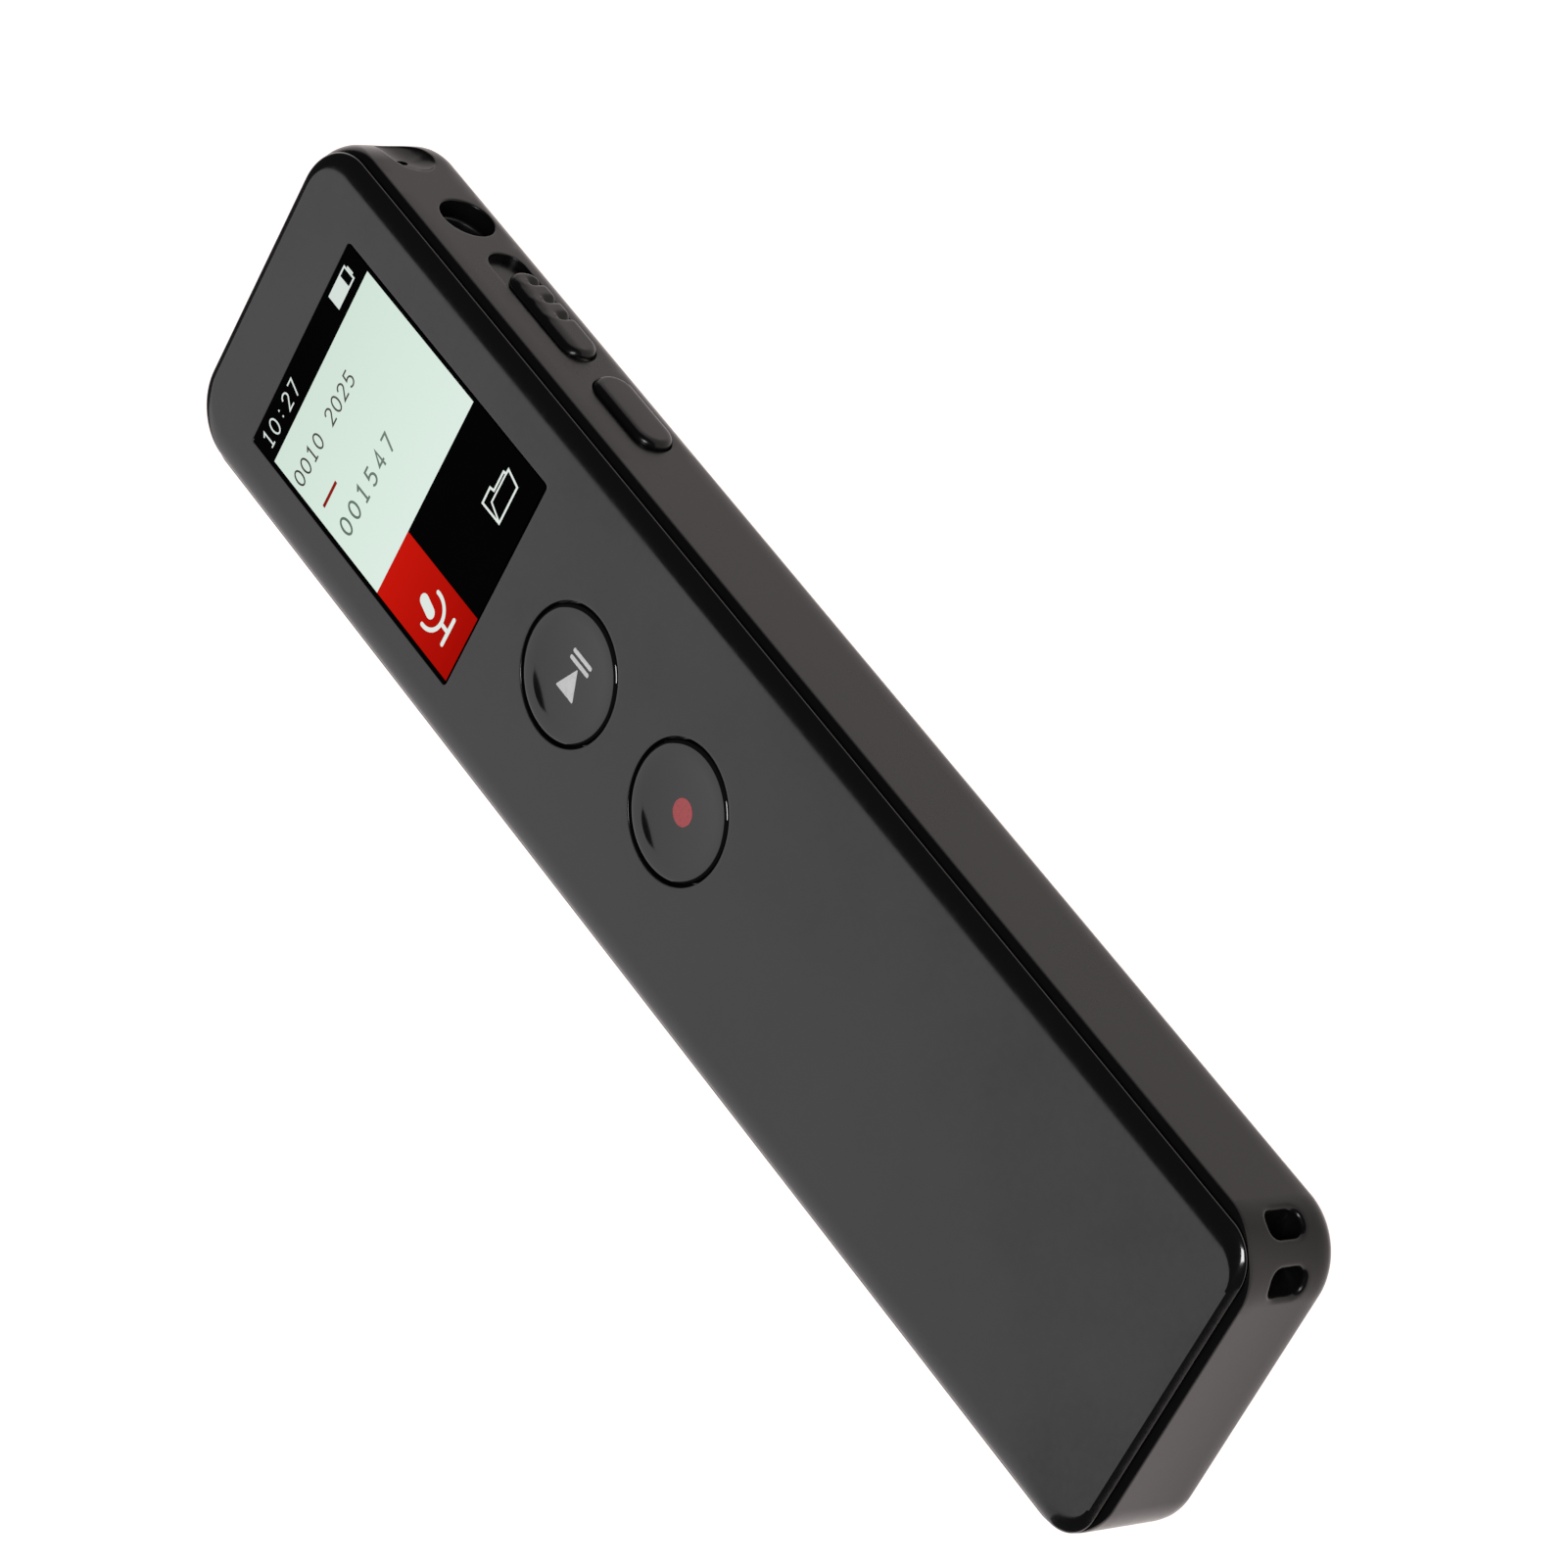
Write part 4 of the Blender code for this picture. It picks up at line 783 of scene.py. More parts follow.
class Layer(Skin):
    # flat shapes of a small thickness at one level

    def __init__(self, level, thickness):
        super().__init__()
        self.level = level
        self.thickness = thickness

    def polygon(self, points):
        up = screenSize["up"]
        high = self.ring([(x, y + up, self.level + self.thickness) for x, y in points])
        low = self.ring([(x, y + up, self.level) for x, y in points])
        self.join(high, low)
        self.fill([high])
        self.fill([low])

    def box(self, left, low, right, high):
        self.polygon([(left, low), (right, low), (right, high), (left, high)])

    def stroke(self, points, width, closed=False, ends=False):
        # a line of even width with mitred corners
        shortest = 0.4  # keeps a sharp mitre from running out too far
        count = len(points)
        sides = [[], []]
        for i, (x, y) in enumerate(points):
            before = points[i - 1] if i or closed else None
            after = points[(i + 1) % count] if i < count - 1 or closed else None
            inward = unit(x - before[0], y - before[1]) if before else None
            outward = unit(after[0] - x, after[1] - y) if after else inward
            inward = inward or outward
            along = unit(inward[0] + outward[0], inward[1] + outward[1])
            reach = width / 2 / max(along[0] * outward[0] + along[1] * outward[1], shortest)
            sides[0].append((x - along[1] * reach, y + along[0] * reach))
            sides[1].append((x + along[1] * reach, y - along[0] * reach))
        if closed:
            up = screenSize["up"]
            high = self.level + self.thickness
            top = [self.ring([(x, y + up, high) for x, y in side]) for side in sides]
            low = [self.ring([(x, y + up, self.level) for x, y in side]) for side in sides]
            self.chain([top[0], top[1], low[1], low[0], top[0]])
            return
        self.polygon(sides[0] + sides[1][::-1])
        if ends:
            for x, y in (points[0], points[-1]):
                self.polygon([(x + u, y + v) for u, v in circle(width / 2, 16)])


def unit(x, y):
    far = math.hypot(x, y) or 1.0
    return x / far, y / far


def arc(x, y, radiusX, radiusY, start, end, steps):
    angles = [math.radians(between(start, end, i / steps)) for i in range(steps + 1)]
    return [(x + radiusX * math.cos(a), y + radiusY * math.sin(a)) for a in angles]


# strokes of the digits in use, on a field 0.6 wide and 1 high
digitStrokes = {
    "0": [arc(0.3, 0.5, 0.27, 0.46, 0, 360, 20)],
    "1": [[(0.12, 0.8), (0.32, 0.96), (0.32, 0.04)], [(0.12, 0.04), (0.52, 0.04)]],
    "2": [arc(0.3, 0.7, 0.25, 0.25, 170, -30, 10) + [(0.06, 0.05), (0.56, 0.05)]],
    "4": [[(0.42, 0.02), (0.42, 0.96), (0.06, 0.3), (0.58, 0.3)]],
    "5": [[(0.52, 0.95), (0.14, 0.95), (0.1, 0.55)] + arc(0.28, 0.32, 0.27, 0.28, 110, -140, 10)],
    "7": [[(0.06, 0.95), (0.54, 0.95), (0.22, 0.02)]],
    ":": [[(0.3, 0.24), (0.3, 0.34)], [(0.3, 0.66), (0.3, 0.76)]],
}


def write(layer, text, left, low, height, pitch, width):
    narrow = 0.95
    for number, sign in enumerate(text):
        for points in digitStrokes.get(sign, []):
            closed = math.dist(points[0], points[-1]) < 1e-6
            line = [(left + number * pitch + x * height * narrow, low + y * height) for x, y in points]
            layer.stroke(line[:-1] if closed else line, width, closed)


def makeIcons(icons):
    size = iconSize
    left, low, right, high = size["battery"]
    corners = [(left, low), (right, low), (right, high), (left, high)]
    icons.stroke(corners, size["battery stroke"], closed=True)
    icons.box(left, low, size["battery charge"], high)
    icons.box(*size["battery cap"])
    line = size["folder stroke"]
    icons.stroke(size["folder"], line, closed=True)
    icons.stroke(size["flap"], line * size["flap share"])
    line = size["mic stroke"]
    icons.stroke(size["mic head"], size["mic head stroke"], ends=True)
    icons.stroke(arc(*size["mic cradle"]), line, ends=True)
    icons.stroke(size["mic stem"], line)
    icons.stroke(size["mic foot"], line, ends=True)


def makeDisplay(glass, tones):
    # a window, and thin lit shapes on it
    size = screenSize
    low, high = boxOf("display_window")
    middle = (low + high) / 2
    half = (high - low) / 2
    top = size["window top"]
    skin = Skin()
    rings = []
    edge = size["window edge"]
    for grow, level in [(-edge * (1 - s), top - edge * (1 - c)) for s, c in quarter(3)] + [(0, low.z)]:
        shape = roundedBox(half.x + grow, half.y + grow, size["window corner"], 6)
        rings.append(skin.ring([(middle.x + u, middle.y + v, level) for u, v in shape]))
    skin.chain(rings)
    skin.fill([rings[0]])
    skin.fill([rings[-1]])
    makePiece("displayWindow", skin, glass, stands=["display_window"])

    def show(name, layer, tone):
        makePiece(name, layer, tones[tone], sharp=20)

    step = size["layer"]
    base = Layer(top, step)
    base.box(size["left"], size["pale low"], size["right"], size["pale top"])
    show("screenPale", base, "screenPaleGlow")
    block = Layer(top, step)
    block.box(size["left"], size["red low"], size["red right"], size["pale low"] - size["red gap"])
    show("screenRed", block, "screenRedGlow")

    # what is written stands one step above the colours
    icons, firstLine, secondLine, dash = [Layer(top + step, step) for _ in range(4)]
    write(icons, *screenRows["clock"])
    makeIcons(icons)
    show("screenIcons", icons, "screenWhite")
    write(firstLine, *screenRows["first"])
    show("screenFirstLine", firstLine, "screenDarkInk")
    write(secondLine, *screenRows["second"])
    show("screenSecondLine", secondLine, "screenGreenInk")
    dash.box(*size["dash"])
    show("screenDash", dash, "screenRedInk")


keySize = {
    "radius": 4.27,
    "lip": 0.26,
    "lip fall": 0.6,
    "lip steps": 6,
    "slope": 0.0755,
    "uneven": 0.38,
    "uneven towards": 60.0,
    "steepest": 3.3,
    "flat from": 4.0,
    "flange radius": 4.9,
    "flange top": -0.95,
    "flange low": -1.45,
    "stem radius": 1.5,
    "steps": 128,
    "dish rings": 24,
}


def keyHeight(radius):
    # level of the dished face: the slope grows to its steepest, then eases out to the flat rim
    size = keySize
    steepest, flat = size["steepest"], size["flat from"]
    rise = flat - steepest
    depth = size["slope"] * (steepest + rise) / 2
    if radius < steepest:
        return size["slope"] * radius ** 2 / (2 * steepest) - depth
    left = max(flat - radius, 0.0)
    return -size["slope"] * left ** 2 / (2 * rise)


def keyLevel(u, v):
    # the dish is a little steeper on one side than on the other
    turn = math.atan2(v, u) - math.radians(keySize["uneven towards"])
    steeper = 1 + keySize["uneven"] * math.cos(turn)
    return keyHeight(0) + (keyHeight(math.hypot(u, v)) - keyHeight(0)) * steeper


def makeFrontKey(node, name, finish):
    size = keySize
    low, high = boxOf(node)
    place = (low + high) / 2
    top = high.z
    reach, lip = size["radius"] - size["lip"], size["lip"]
    lipSteps, dishRings = size["lip steps"], size["dish rings"]
    profile = [(reach + lip * s, -lip * size["lip fall"] * (1 - c)) for s, c in quarter(lipSteps)[1:]]
    profile += [
        (size["radius"], size["flange top"]),
        (size["flange radius"], size["flange top"]),
        (size["flange radius"], size["flange low"]),
        (size["stem radius"], size["flange low"]),
        (size["stem radius"], low.z - top),
    ]
    skin = Skin()
    rings = []
    for i in range(1, dishRings + 1):
        spots = circle(reach * i / dishRings, size["steps"])
        rings.append(skin.ring([(place.x + u, place.y + v, top + keyLevel(u, v)) for u, v in spots]))
    rim = circle(reach, size["steps"])
    for number, (radius, level) in enumerate(profile):
        # the lip starts at the height of the dish's edge all the way round
        ring = []
        for (u, v), (edgeU, edgeV) in zip(circle(radius, size["steps"]), rim):
            start = keyLevel(edgeU, edgeV) if number < lipSteps else 0.0
            ring.append((place.x + u, place.y + v, top + level + start))
        rings.append(skin.ring(ring))
    skin.chain(rings)
    skin.cap(rings[0], (place.x, place.y, top + keyHeight(0)))
    skin.cap(rings[-1], (place.x, place.y, low.z))
    makePiece(name, skin, finish, node.replace("_key", "_button"), [node])
    return place.x, place.y, top


class KeyPrint(Skin):
    # thin printed shapes that follow the dish of a key

    def __init__(self, place):
        super().__init__()
        self.place = place

    def patch(self, points, rounds):
        # points round the middle of the shape, shrunk towards it ring by ring
        x, y, top = self.place
        cx = sum(p[0] for p in points) / len(points)
        cy = sum(p[1] for p in points) / len(points)
        lift, under = 0.012, 0.01
        rings = []
        levels = [(1.0, -under)] + [(1 - i / rounds, lift) for i in range(rounds)]
        for share, height in levels:
            ring = []
            for u, v in points:
                u, v = between(cx, u, share), between(cy, v, share)
                ring.append((x + u, y + v, top + keyLevel(u, v) + height))
            rings.append(self.ring(ring))
        self.chain(rings)
        self.cap(rings[-1], (x + cx, y + cy, top + keyLevel(cx, cy) + lift))


def softCorners(points, radius, steps=4):
    # the same outline with each corner rounded
    made = []
    count = len(points)
    for i, (x, y) in enumerate(points):
        px, py = unit(points[i - 1][0] - x, points[i - 1][1] - y)
        nx, ny = unit(points[(i + 1) % count][0] - x, points[(i + 1) % count][1] - y)
        for step in range(steps + 1):
            t = step / steps
            a, b, c = (1 - t) ** 2, 2 * t * (1 - t), t ** 2
            made.append((a * (x + px * radius) + b * x + c * (x + nx * radius),
                         a * (y + py * radius) + b * y + c * (y + ny * radius)))
    return made


signSize = {
    "triangle": [(-1.29, -1.21), (0.66, -0.32), (-1.29, 0.70)],
    "triangle corner": 0.12,
    "bars": (0.94, 1.45),
    "bar middle": -0.32,
    "bar": (0.15, 1.02, 0.14),  # half width, half height, corner
    "dot": (0.13, -0.21),
    "dot radius": 0.87,
    "rounds": 3,
}


def makeKeyPrints(play, record, white, red):
    size = signSize
    sign = KeyPrint(play)
    sign.patch(softCorners(size["triangle"], size["triangle corner"]), size["rounds"])
    for x in size["bars"]:
        bar = [(x + u, size["bar middle"] + v) for u, v in roundedBox(*size["bar"], 4)]
        sign.patch(bar, size["rounds"])
    makePiece("playSign", sign, white, "play_button")
    dot = KeyPrint(record)
    x, y = size["dot"]
    dot.patch([(x + u, y + v) for u, v in circle(size["dot radius"], 48)], size["rounds"])
    makePiece("recordSign", dot, red, "record_button")


sideKeySize = {
    "length": 6.8,
    "width": 2.8,
    "soft edge": 0.42,
    "crown": 0.02,
    "foot": (10.5, 9.9, 0.55, 0.55),  # outer and inner reach, how much longer, how much wider
    "grid": (64, 18),
}

sliderSize = {
    "length": 8.2,
    "width": 2.5,
    "soft edge": 0.4,
    "foot": (12.05, 10.9, -2.3, -0.75),
    "grid": (150, 26),
    "front slope": 0.3,
    "slope from": 0.3,
    "groove places": (33.67, 31.92, 30.27),
    "groove depth": 0.42,
    "groove width": 0.5,
    "groove sharpness": 4,
    "groove ends": 0.15,
    "groove fade": 0.35,
    "lip": 0.08,
    "lip middle": 0.55,
    "lip width": 0.4,
    "lip sharpness": 3,
    "lip from edge": 0.15,
}


def pillGrid(length, width, rows, columns):
    # stations over a pill: places along it, and points across it at each
    half, r = length / 2, width / 2
    narrowest = 0.02
    lines = []
    for i in range(rows + 1):
        v = -half * math.cos(math.pi * i / rows)
        over = max(abs(v) - (half - r), 0.0)
        reach = max(math.sqrt(max(r * r - over * over, 0.0)), narrowest)
        lines.append([(v, -reach * math.cos(math.pi * j / columns)) for j in range(columns + 1)])
    return lines


def edgeDistance(v, w, length, width):
    half, r = length / 2, width / 2
    return r - math.hypot(max(abs(v) - (half - r), 0.0), w)


def makeSideKey(name, node, body, side, size, height, finish):
    # a pill-shaped key, with its face shaped by height(along, across, distance from edge)
    low, high = boxOf(node)
    face = high.x if side > 0 else -low.x
    place = (low + high) / 2
    y0, z0 = place.y, place.z
    length, width = size["length"], size["width"]
    skin = Skin()
    grid = []
    for line in pillGrid(length, width, *size["grid"]):
        ring = []
        for v, w in line:
            drop = height(v, w, max(edgeDistance(v, w, length, width), 0.0))
            ring.append((side * (face - drop), y0 + v, z0 + w))
        grid.append(skin.ring(ring))
    for first, second in zip(grid, grid[1:]):
        skin.join(first, second, closed=False)
    border = grid[0] + [line[-1] for line in grid[1:-1]]
    border += grid[-1][::-1] + [line[0] for line in grid[-2:0:-1]]
    outer, inner, longer, wider = size["foot"]
    rings = [border]
    rings.append(skin.ring([(side * outer, skin.points[i][1], skin.points[i][2]) for i in border]))
    for reach in (outer, inner):
        ring = []
        for i in border:
            _, y, z = skin.points[i]
            y = y0 + (y - y0) * (1 + 2 * longer / length)
            z = z0 + (z - z0) * (1 + 2 * wider / width)
            ring.append((side * reach, y, z))
        rings.append(skin.ring(ring))
    skin.chain(rings)
    skin.cap(rings[-1], (side * inner, y0, z0))
    makePiece(name, skin, finish, body, [node])


def softEdge(distance, radius):
    if distance >= radius:
        return 0.0
    return radius - math.sqrt(max(radius ** 2 - (radius - distance) ** 2, 0.0))


def makeSideControls(finish):
    key = sideKeySize

    def plain(v, w, distance):
        return softEdge(distance, key["soft edge"]) + key["crown"] * (w / (key["width"] / 2)) ** 2

    for name, node, side in (("menuKey", "menu_key", 1), ("nextKey", "next_key", -1),
                             ("previousKey", "previous_key", -1)):
        makeSideKey(name, node, node.replace("_key", "_button"), side, key, plain, finish)

    size = sliderSize
    low, high = boxOf("hold_slider_knob")
    middle = (low.y + high.y) / 2

    def grooved(v, w, distance):
        # grooves that fade out towards the front, where a small lip stands up beside each
        drop = softEdge(distance, size["soft edge"])
        drop += size["front slope"] * max(w - size["slope from"], 0.0) ** 2
        back = min(max((size["groove ends"] - w) / size["groove fade"], 0.0), 1.0)
        front = math.exp(-((w - size["lip middle"]) / size["lip width"]) ** 2)
        if distance <= size["lip from edge"]:
            front = 0.0
        for place in size["groove places"]:
            near = (v + middle - place) / size["groove width"]
            drop += size["groove depth"] * math.exp(-size["groove sharpness"] * near * near) * back
            drop -= size["lip"] * math.exp(-size["lip sharpness"] * near * near) * front
        return max(drop, 0.0)

    makeSideKey("holdSliderKnob", "hold_slider_knob", "hold_slider", 1, size, grooved, finish)


jackSize = {
    "bore": 1.75,
    "depth": 10.4,
    "mouth edge": 0.15,
    "collar": 2.3,
    "collar steps": ((0.0, 0.2), (0.06, 0.03), (0.2, 0.0)),  # inset and depth
    "contact": ((0.0, 2.6), (0.1, 2.75), (0.1, 3.4), (0.0, 3.55)),
    "body corner": 0.3,
    "corner steps": 15,
}


def makeJack(finish):
    size = jackSize
    low, high = boxOf("headphone_jack")
    place = (low + high) / 2
    face = high.x
    skin = Skin()
    bore, edge = size["bore"], size["mouth edge"]
    profile = [(size["collar"] - inset, face - depth) for inset, depth in size["collar steps"]]
    profile += [(bore + edge * (1 - s), face - edge * (1 - c)) for s, c in quarter(5)]
    profile += [(bore - inset, face - depth) for inset, depth in size["contact"]]
    profile.append((bore, face - size["depth"]))
    steps = size["corner steps"]
    rings = []
    for radius, x in profile:
        # as many points as the square body has round its four corners
        spots = circle(radius, 4 * (steps + 1))
        rings.append(skin.ring([(x, place.y + u, place.z + v) for u, v in spots]))
    skin.chain(rings)
    skin.cap(rings[-1], (face - size["depth"], place.y, place.z))
    half = (high - low) / 2
    shape = roundedBox(half.y, half.z, size["body corner"], steps)
    body = [skin.ring([(x, place.y + u, place.z + v) for u, v in shape]) for x in (profile[0][1], low.x)]
    skin.chain([rings[0], *body])
    skin.cap(body[-1], (low.x, place.y, place.z))
    makePiece("headphoneJack", skin, finish, stands=["headphone_jack"])


# base grey, low and high roughness, grain, IOR
plasticLook = {
    "body": (0.0026, 0.18, 0.30, 0.08, 1.28),
    "cover": (0.0030, 0.08, 0.20, 0.22, 1.48),
    "key": (0.0028, 0.02, 0.05, 0.05, 1.48),
}


grainLook = {
    "cloud scale": 90.0,
    "fine scale": 2600.0,
    "speck scale": 1500.0,
    "speck above": 0.84,
    "speck grey": 0.02,
    "cloud share": 0.7,
    "fine share": 0.3,
    "relief": 0.35,
    "relief depth": 0.000004,
}


def plastic(name, base, low, high, grain, ior):
    look = grainLook
    finish = Finish(name, IOR=ior)
    place = finish.place()
    cloud = finish.noise(look["cloud scale"], 4.0, 0.6, place)
    fine = finish.noise(look["fine scale"], 2.0, 0.5, place)
    specks = finish.noise(look["speck scale"], 1.0, 0.4, place) > look["speck above"]
    finish.feed("Base Color", finish.blend(specks, grey(base, 0.04), grey(look["speck grey"], 0.02)))
    mixed = cloud * look["cloud share"] + fine * look["fine share"]
    finish.feed("Roughness", finish.spread(mixed, low, high))
    finish.bump(fine, grain * look["relief"], look["relief depth"])
    return finish


def inside(name, colour, other, scale, low, high, metal=0.0, strength=0.3, distance=0.00002):
    finish = Finish(name, Metallic=metal)
    place = finish.place()
    mottle = finish.noise(scale, 4.0, 0.6, place)
    finish.feed("Base Color", finish.blend(finish.spread(mottle, 0.0, 1.0), colour, other))
    finish.feed("Roughness", finish.spread(mottle, low, high))
    finish.bump(mottle, strength, distance)
    return finish


def lit(name, first, second, axis, start, end):
    # a screen colour that runs from one tone to another, with a faint grain
    grainScale, grainShare = 1500.0, 0.03
    fixed = {"Roughness": 0.4, "Specular_IOR_Level": 0.0, "Base_Color": (0, 0, 0, 1)}
    finish = Finish(name, **fixed, Emission_Strength=1.0)
    place = finish.place()
    grain = finish.noise(grainScale, 2.0, 0.5, place)
    split = finish.node("ShaderNodeSeparateXYZ", None, {"Vector": place}, "XYZ".index(axis))
    ends = {"Value": split, "From Min": start * mm, "From Max": end * mm}
    run = finish.node("ShaderNodeMapRange", None, ends)
    finish.feed("Emission Color", finish.blend(run + (grain - 0.5) * grainShare, srgb(*first), srgb(*second)))
    return finish


def srgb(red, green, blue):
    def one(value):
        value /= 255
        return value / 12.92 if value <= 0.04045 else ((value + 0.055) / 1.055) ** 2.4

    return (one(red), one(green), one(blue), 1.0)


def glassFinish():
    finish = Finish("windowGlass", IOR=1.035, Roughness=0.06)
    smudge = finish.noise(160.0, 3.0, 0.6)
    finish.feed("Base Color", finish.blend(smudge, (0.0, 0.0, 0.0, 1), (0.0006, 0.0006, 0.0008, 1)))
    finish.feed("Roughness", finish.spread(smudge, 0.03, 0.10))
    return finish


def printFinish(name, colour, other):
    finish = Finish(name, IOR=1.45)
    wear = finish.noise(2200.0, 3.0, 0.6)
    finish.feed("Base Color", finish.blend(finish.spread(wear, 0.0, 1.0), colour, other))
    finish.feed("Roughness", finish.spread(wear, 0.22, 0.38))
    return finish


# two tones, the axis that they run along, and where the run starts and ends
screenTones = {
    "screenPaleGlow": ((220, 236, 226), (210, 228, 216), "Y", 29.0, 42.0),
    "screenRedGlow": ((160, 12, 5), (196, 22, 12), "Y", 20.3, 28.7),
    "screenWhite": ((224, 232, 226), (214, 224, 218), "Y", 22.0, 43.0),
    "screenDarkInk": ((64, 62, 60), (84, 82, 78), "X", -7.5, 1.0),
    "screenGreenInk": ((96, 112, 98), (112, 128, 114), "X", -7.5, 1.0),
    "screenRedInk": ((128, 22, 14), (142, 30, 20), "X", -7.3, -5.2),
}

print("finishes")
bodyFinish = plastic("satinBlackBody", *plasticLook["body"])
coverFinish = plastic("satinBlackCover", *plasticLook["cover"])
keyFinish = plastic("glossyBlackKey", *plasticLook["key"])
socketFinish = inside("socketBlack", grey(0.006), grey(0.012), 900.0, 0.3, 0.5)
glass = glassFinish()
tones = {name: lit(name, *tone) for name, tone in screenTones.items()}
whitePrint = printFinish("signWhite", grey(0.62), grey(0.7))
redPrint = printFinish("signRed", (0.38, 0.045, 0.05, 1), (0.44, 0.06, 0.065, 1))

nodeFinishes = {
    "board_green": inside(
        "boardGreen", (0.012, 0.09, 0.035, 1), (0.02, 0.13, 0.05, 1), 260.0, 0.3, 0.45,
    ),
    "chip_epoxy": inside("chipBlack", grey(0.012), grey(0.02), 1200.0, 0.45, 0.65),
    "plated_steel": inside(
        "platedSteel", (0.62, 0.61, 0.58, 1), (0.5, 0.49, 0.47, 1), 500.0, 0.22, 0.42, 1.0,
    ),
    "black_foam": inside("blackFoam", grey(0.008), grey(0.02), 2400.0, 0.8, 0.95, 0.0, 0.8, 0.00006),
    "mic_rubber": inside("micRubber", grey(0.012), grey(0.02), 1600.0, 0.6, 0.8),
    "black_plastic": inside("innerBlack", grey(0.008), grey(0.014), 900.0, 0.35, 0.55),
    "white_plastic": inside("innerWhite", grey(0.55), grey(0.66), 600.0, 0.35, 0.55),
    "amber_film": inside("amberFilm", (0.42, 0.16, 0.02, 1), (0.5, 0.2, 0.03, 1), 300.0, 0.2, 0.35),
    "pouch_foil": inside(
        "pouchFoil", (0.55, 0.56, 0.58, 1), (0.45, 0.46, 0.48, 1), 350.0, 0.25, 0.45, 0.9,
    ),
    "red_wire": inside("redWire", (0.35, 0.02, 0.02, 1), (0.42, 0.03, 0.03, 1), 700.0, 0.4, 0.6),
    "panel_glass": inside("panelGlass", grey(0.02), grey(0.03), 400.0, 0.08, 0.16),
    "clear_acrylic": inside("clearAcrylic", grey(0.02), grey(0.03), 400.0, 0.06, 0.14),
    "key_plastic": keyFinish,
    "body_plastic": bodyFinish,
    "cover_plastic": coverFinish,
}


print("inner parts")
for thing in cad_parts.values():
    for slot in thing.material_slots:
        known = slot.material.name.split(".")[0] if slot.material else ""
        slot.link = "OBJECT"
        slot.material = nodeFinishes.get(known, nodeFinishes["black_plastic"]).material

print("case")
makeShell(bodyFinish)
makeCover(coverFinish)
print("display")
makeDisplay(glass, tones)
print("keys")
playPlace = makeFrontKey("play_key", "playKey", keyFinish)
recordPlace = makeFrontKey("record_key", "recordKey", keyFinish)
makeKeyPrints(playPlace, recordPlace, whitePrint, redPrint)
makeSideControls(bodyFinish)
makeJack(socketFinish)


cameraPlace = {
    "lens": 154.7,
    "sensor": 36.0,
    "clip": (0.01, 20.0),
    "position": (202.85, -216.44, 270.83),
    "right": (0.4190, -0.5311, -0.7365),
    "up": (0.7557, 0.6536, -0.0414),
    "back": (0.5033, -0.5392, 0.6752),
}

lightPlan = {
    "world": 0.06,
    "world tint": (0.85, 0.9, 1.0, 1.0),
    "panel corners": ((-600, 0), (-235, 400)),   # across, above the floor
    "panel from": 150,
    "panel to": 535,
    "panel radiance": 1.25,
    "panel tint": (1.0, 0.965, 0.985),
    "overhead direction": (0.35, -0.45, 0.82),
    "overhead away": 900,
    "overhead side": 300,
    "floor light": 2.6,
}

tablePlan = {
    "half size": 1600,
    "level": -0.12,
    "mottle scale": 18.0,
    "tones": ((0.14, 0.006), (0.17, 0.004)),
    "glow": 1.0,
    "tint": (1.1, 1.0, 0.98, 1),
    # painted light: a brighter glowing pool on the table past the lower end of the case, and where it fades
    # in
    "painted pool tint": (1.9, 1.72, 1.68, 1),
    "painted pool run": (-50, -56),
}


def makeCamera():
    data = bpy.data.cameras.new("camera")
    data.lens = cameraPlace["lens"]
    data.sensor_width = cameraPlace["sensor"]
    data.clip_start, data.clip_end = cameraPlace["clip"]
    camera = bpy.data.objects.new("camera", data)
    bpy.context.scene.collection.objects.link(camera)
    axes = Matrix([cameraPlace[name] for name in ("right", "up", "back")]).transposed().to_4x4()
    camera.matrix_world = Matrix.Translation(Vector(cameraPlace["position"]) * mm) @ axes
    bpy.context.scene.camera = camera


def areaLight(name, place, facing, width, height, radiance, tint=(1.0, 1.0, 1.0), across=None):
    data = bpy.data.lights.new(name, "AREA")
    data.shape = "RECTANGLE"
    data.size = width * mm
    data.size_y = height * mm
    data.color = tint
    data.energy = radiance * math.pi * data.size * data.size_y
    lamp = bpy.data.objects.new(name, data)
    bpy.context.scene.collection.objects.link(lamp)
    back = -Vector(facing).normalized()
    right = Vector(across or Vector((0, 0, 1)).cross(back)).normalized()
    axes = Matrix((right, back.cross(right), back)).transposed().to_4x4()
    lamp.matrix_world = Matrix.Translation(Vector(place) * mm) @ axes


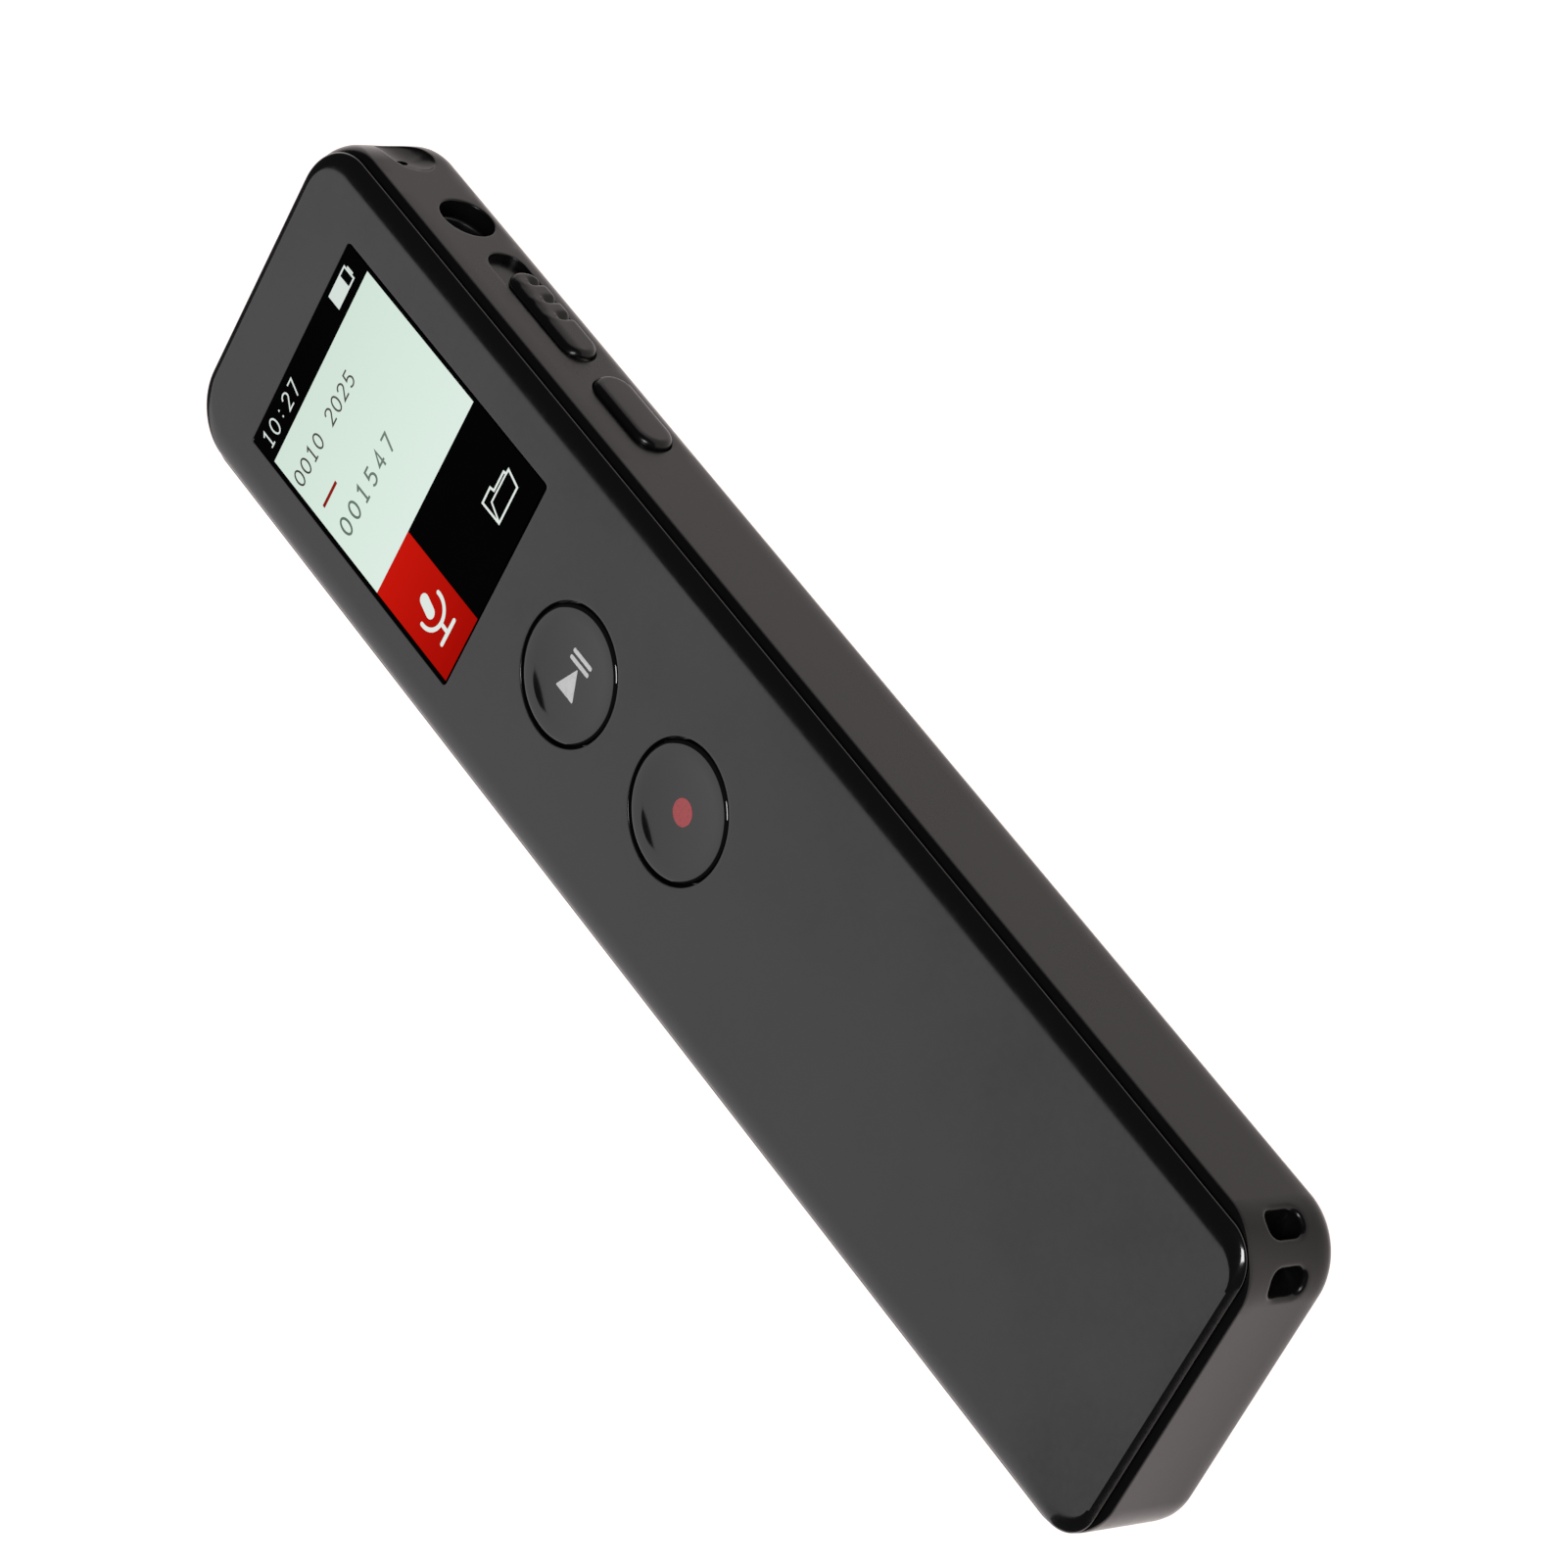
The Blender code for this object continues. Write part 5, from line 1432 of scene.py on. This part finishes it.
def makeLights():
    plan = lightPlan
    world = bpy.data.worlds.new("darkRoom")
    bpy.context.scene.world = world
    world.use_nodes = True
    inputs = world.node_tree.nodes["Background"].inputs
    inputs["Color"].default_value = plan["world tint"]
    inputs["Strength"].default_value = plan["world"]
    (x1, z1), (x2, z2) = plan["panel corners"]
    y1, y2 = plan["panel from"], plan["panel to"]
    slope = Vector((x2 - x1, 0, z2 - z1))
    facing = Vector((slope.z, 0, -slope.x))
    areaLight("panel", ((x1 + x2) / 2, (y1 + y2) / 2, (z1 + z2) / 2), facing, y2 - y1, slope.length,
              plan["panel radiance"], plan["panel tint"], (0, 1, 0))
    direction = Vector(plan["overhead direction"]).normalized()
    away = plan["overhead away"]
    side = plan["overhead side"]
    radiance = plan["floor light"] / (side / away) ** 2
    areaLight("overhead", direction * away, -direction, side, side, radiance)


def makeTable():
    plan = tablePlan
    finish = Finish("paleTable", IOR=1.3, Specular_IOR_Level=0.2, Emission_Strength=plan["glow"])
    place = finish.place()
    mottle = finish.noise(plan["mottle scale"], 4.0, 0.6, place)
    finish.feed("Base Color", finish.blend(mottle, *[grey(*tone) for tone in plan["tones"]]))
    finish.feed("Roughness", finish.spread(mottle, 0.75, 0.9))
    # painted light: the table glows brighter past the lower end of the case, a painted pool of light for the
    # end wall to reflect
    along = finish.node("ShaderNodeSeparateXYZ", None, {"Vector": place}, 1)
    start, end = plan["painted pool run"]
    ends = {"Value": along, "From Min": start * mm, "From Max": end * mm}
    run = finish.node("ShaderNodeMapRange", None, ends)
    finish.feed("Emission Color", finish.blend(run, plan["tint"], plan["painted pool tint"]))
    half, level = plan["half size"] * mm, plan["level"] * mm
    mesh = bpy.data.meshes.new("table")
    corners = [(-half, -half, level), (half, -half, level), (half, half, level), (-half, half, level)]
    mesh.from_pydata(corners, [], [(0, 1, 2, 3)])
    mesh.materials.append(finish.material)
    table = bpy.data.objects.new("table", mesh)
    bpy.context.scene.collection.objects.link(table)


print("camera and lights")
makeCamera()
makeLights()
makeTable()
bpy.context.scene.view_settings.view_transform = "Standard"

bpy.context.view_layer.update()

print("done")
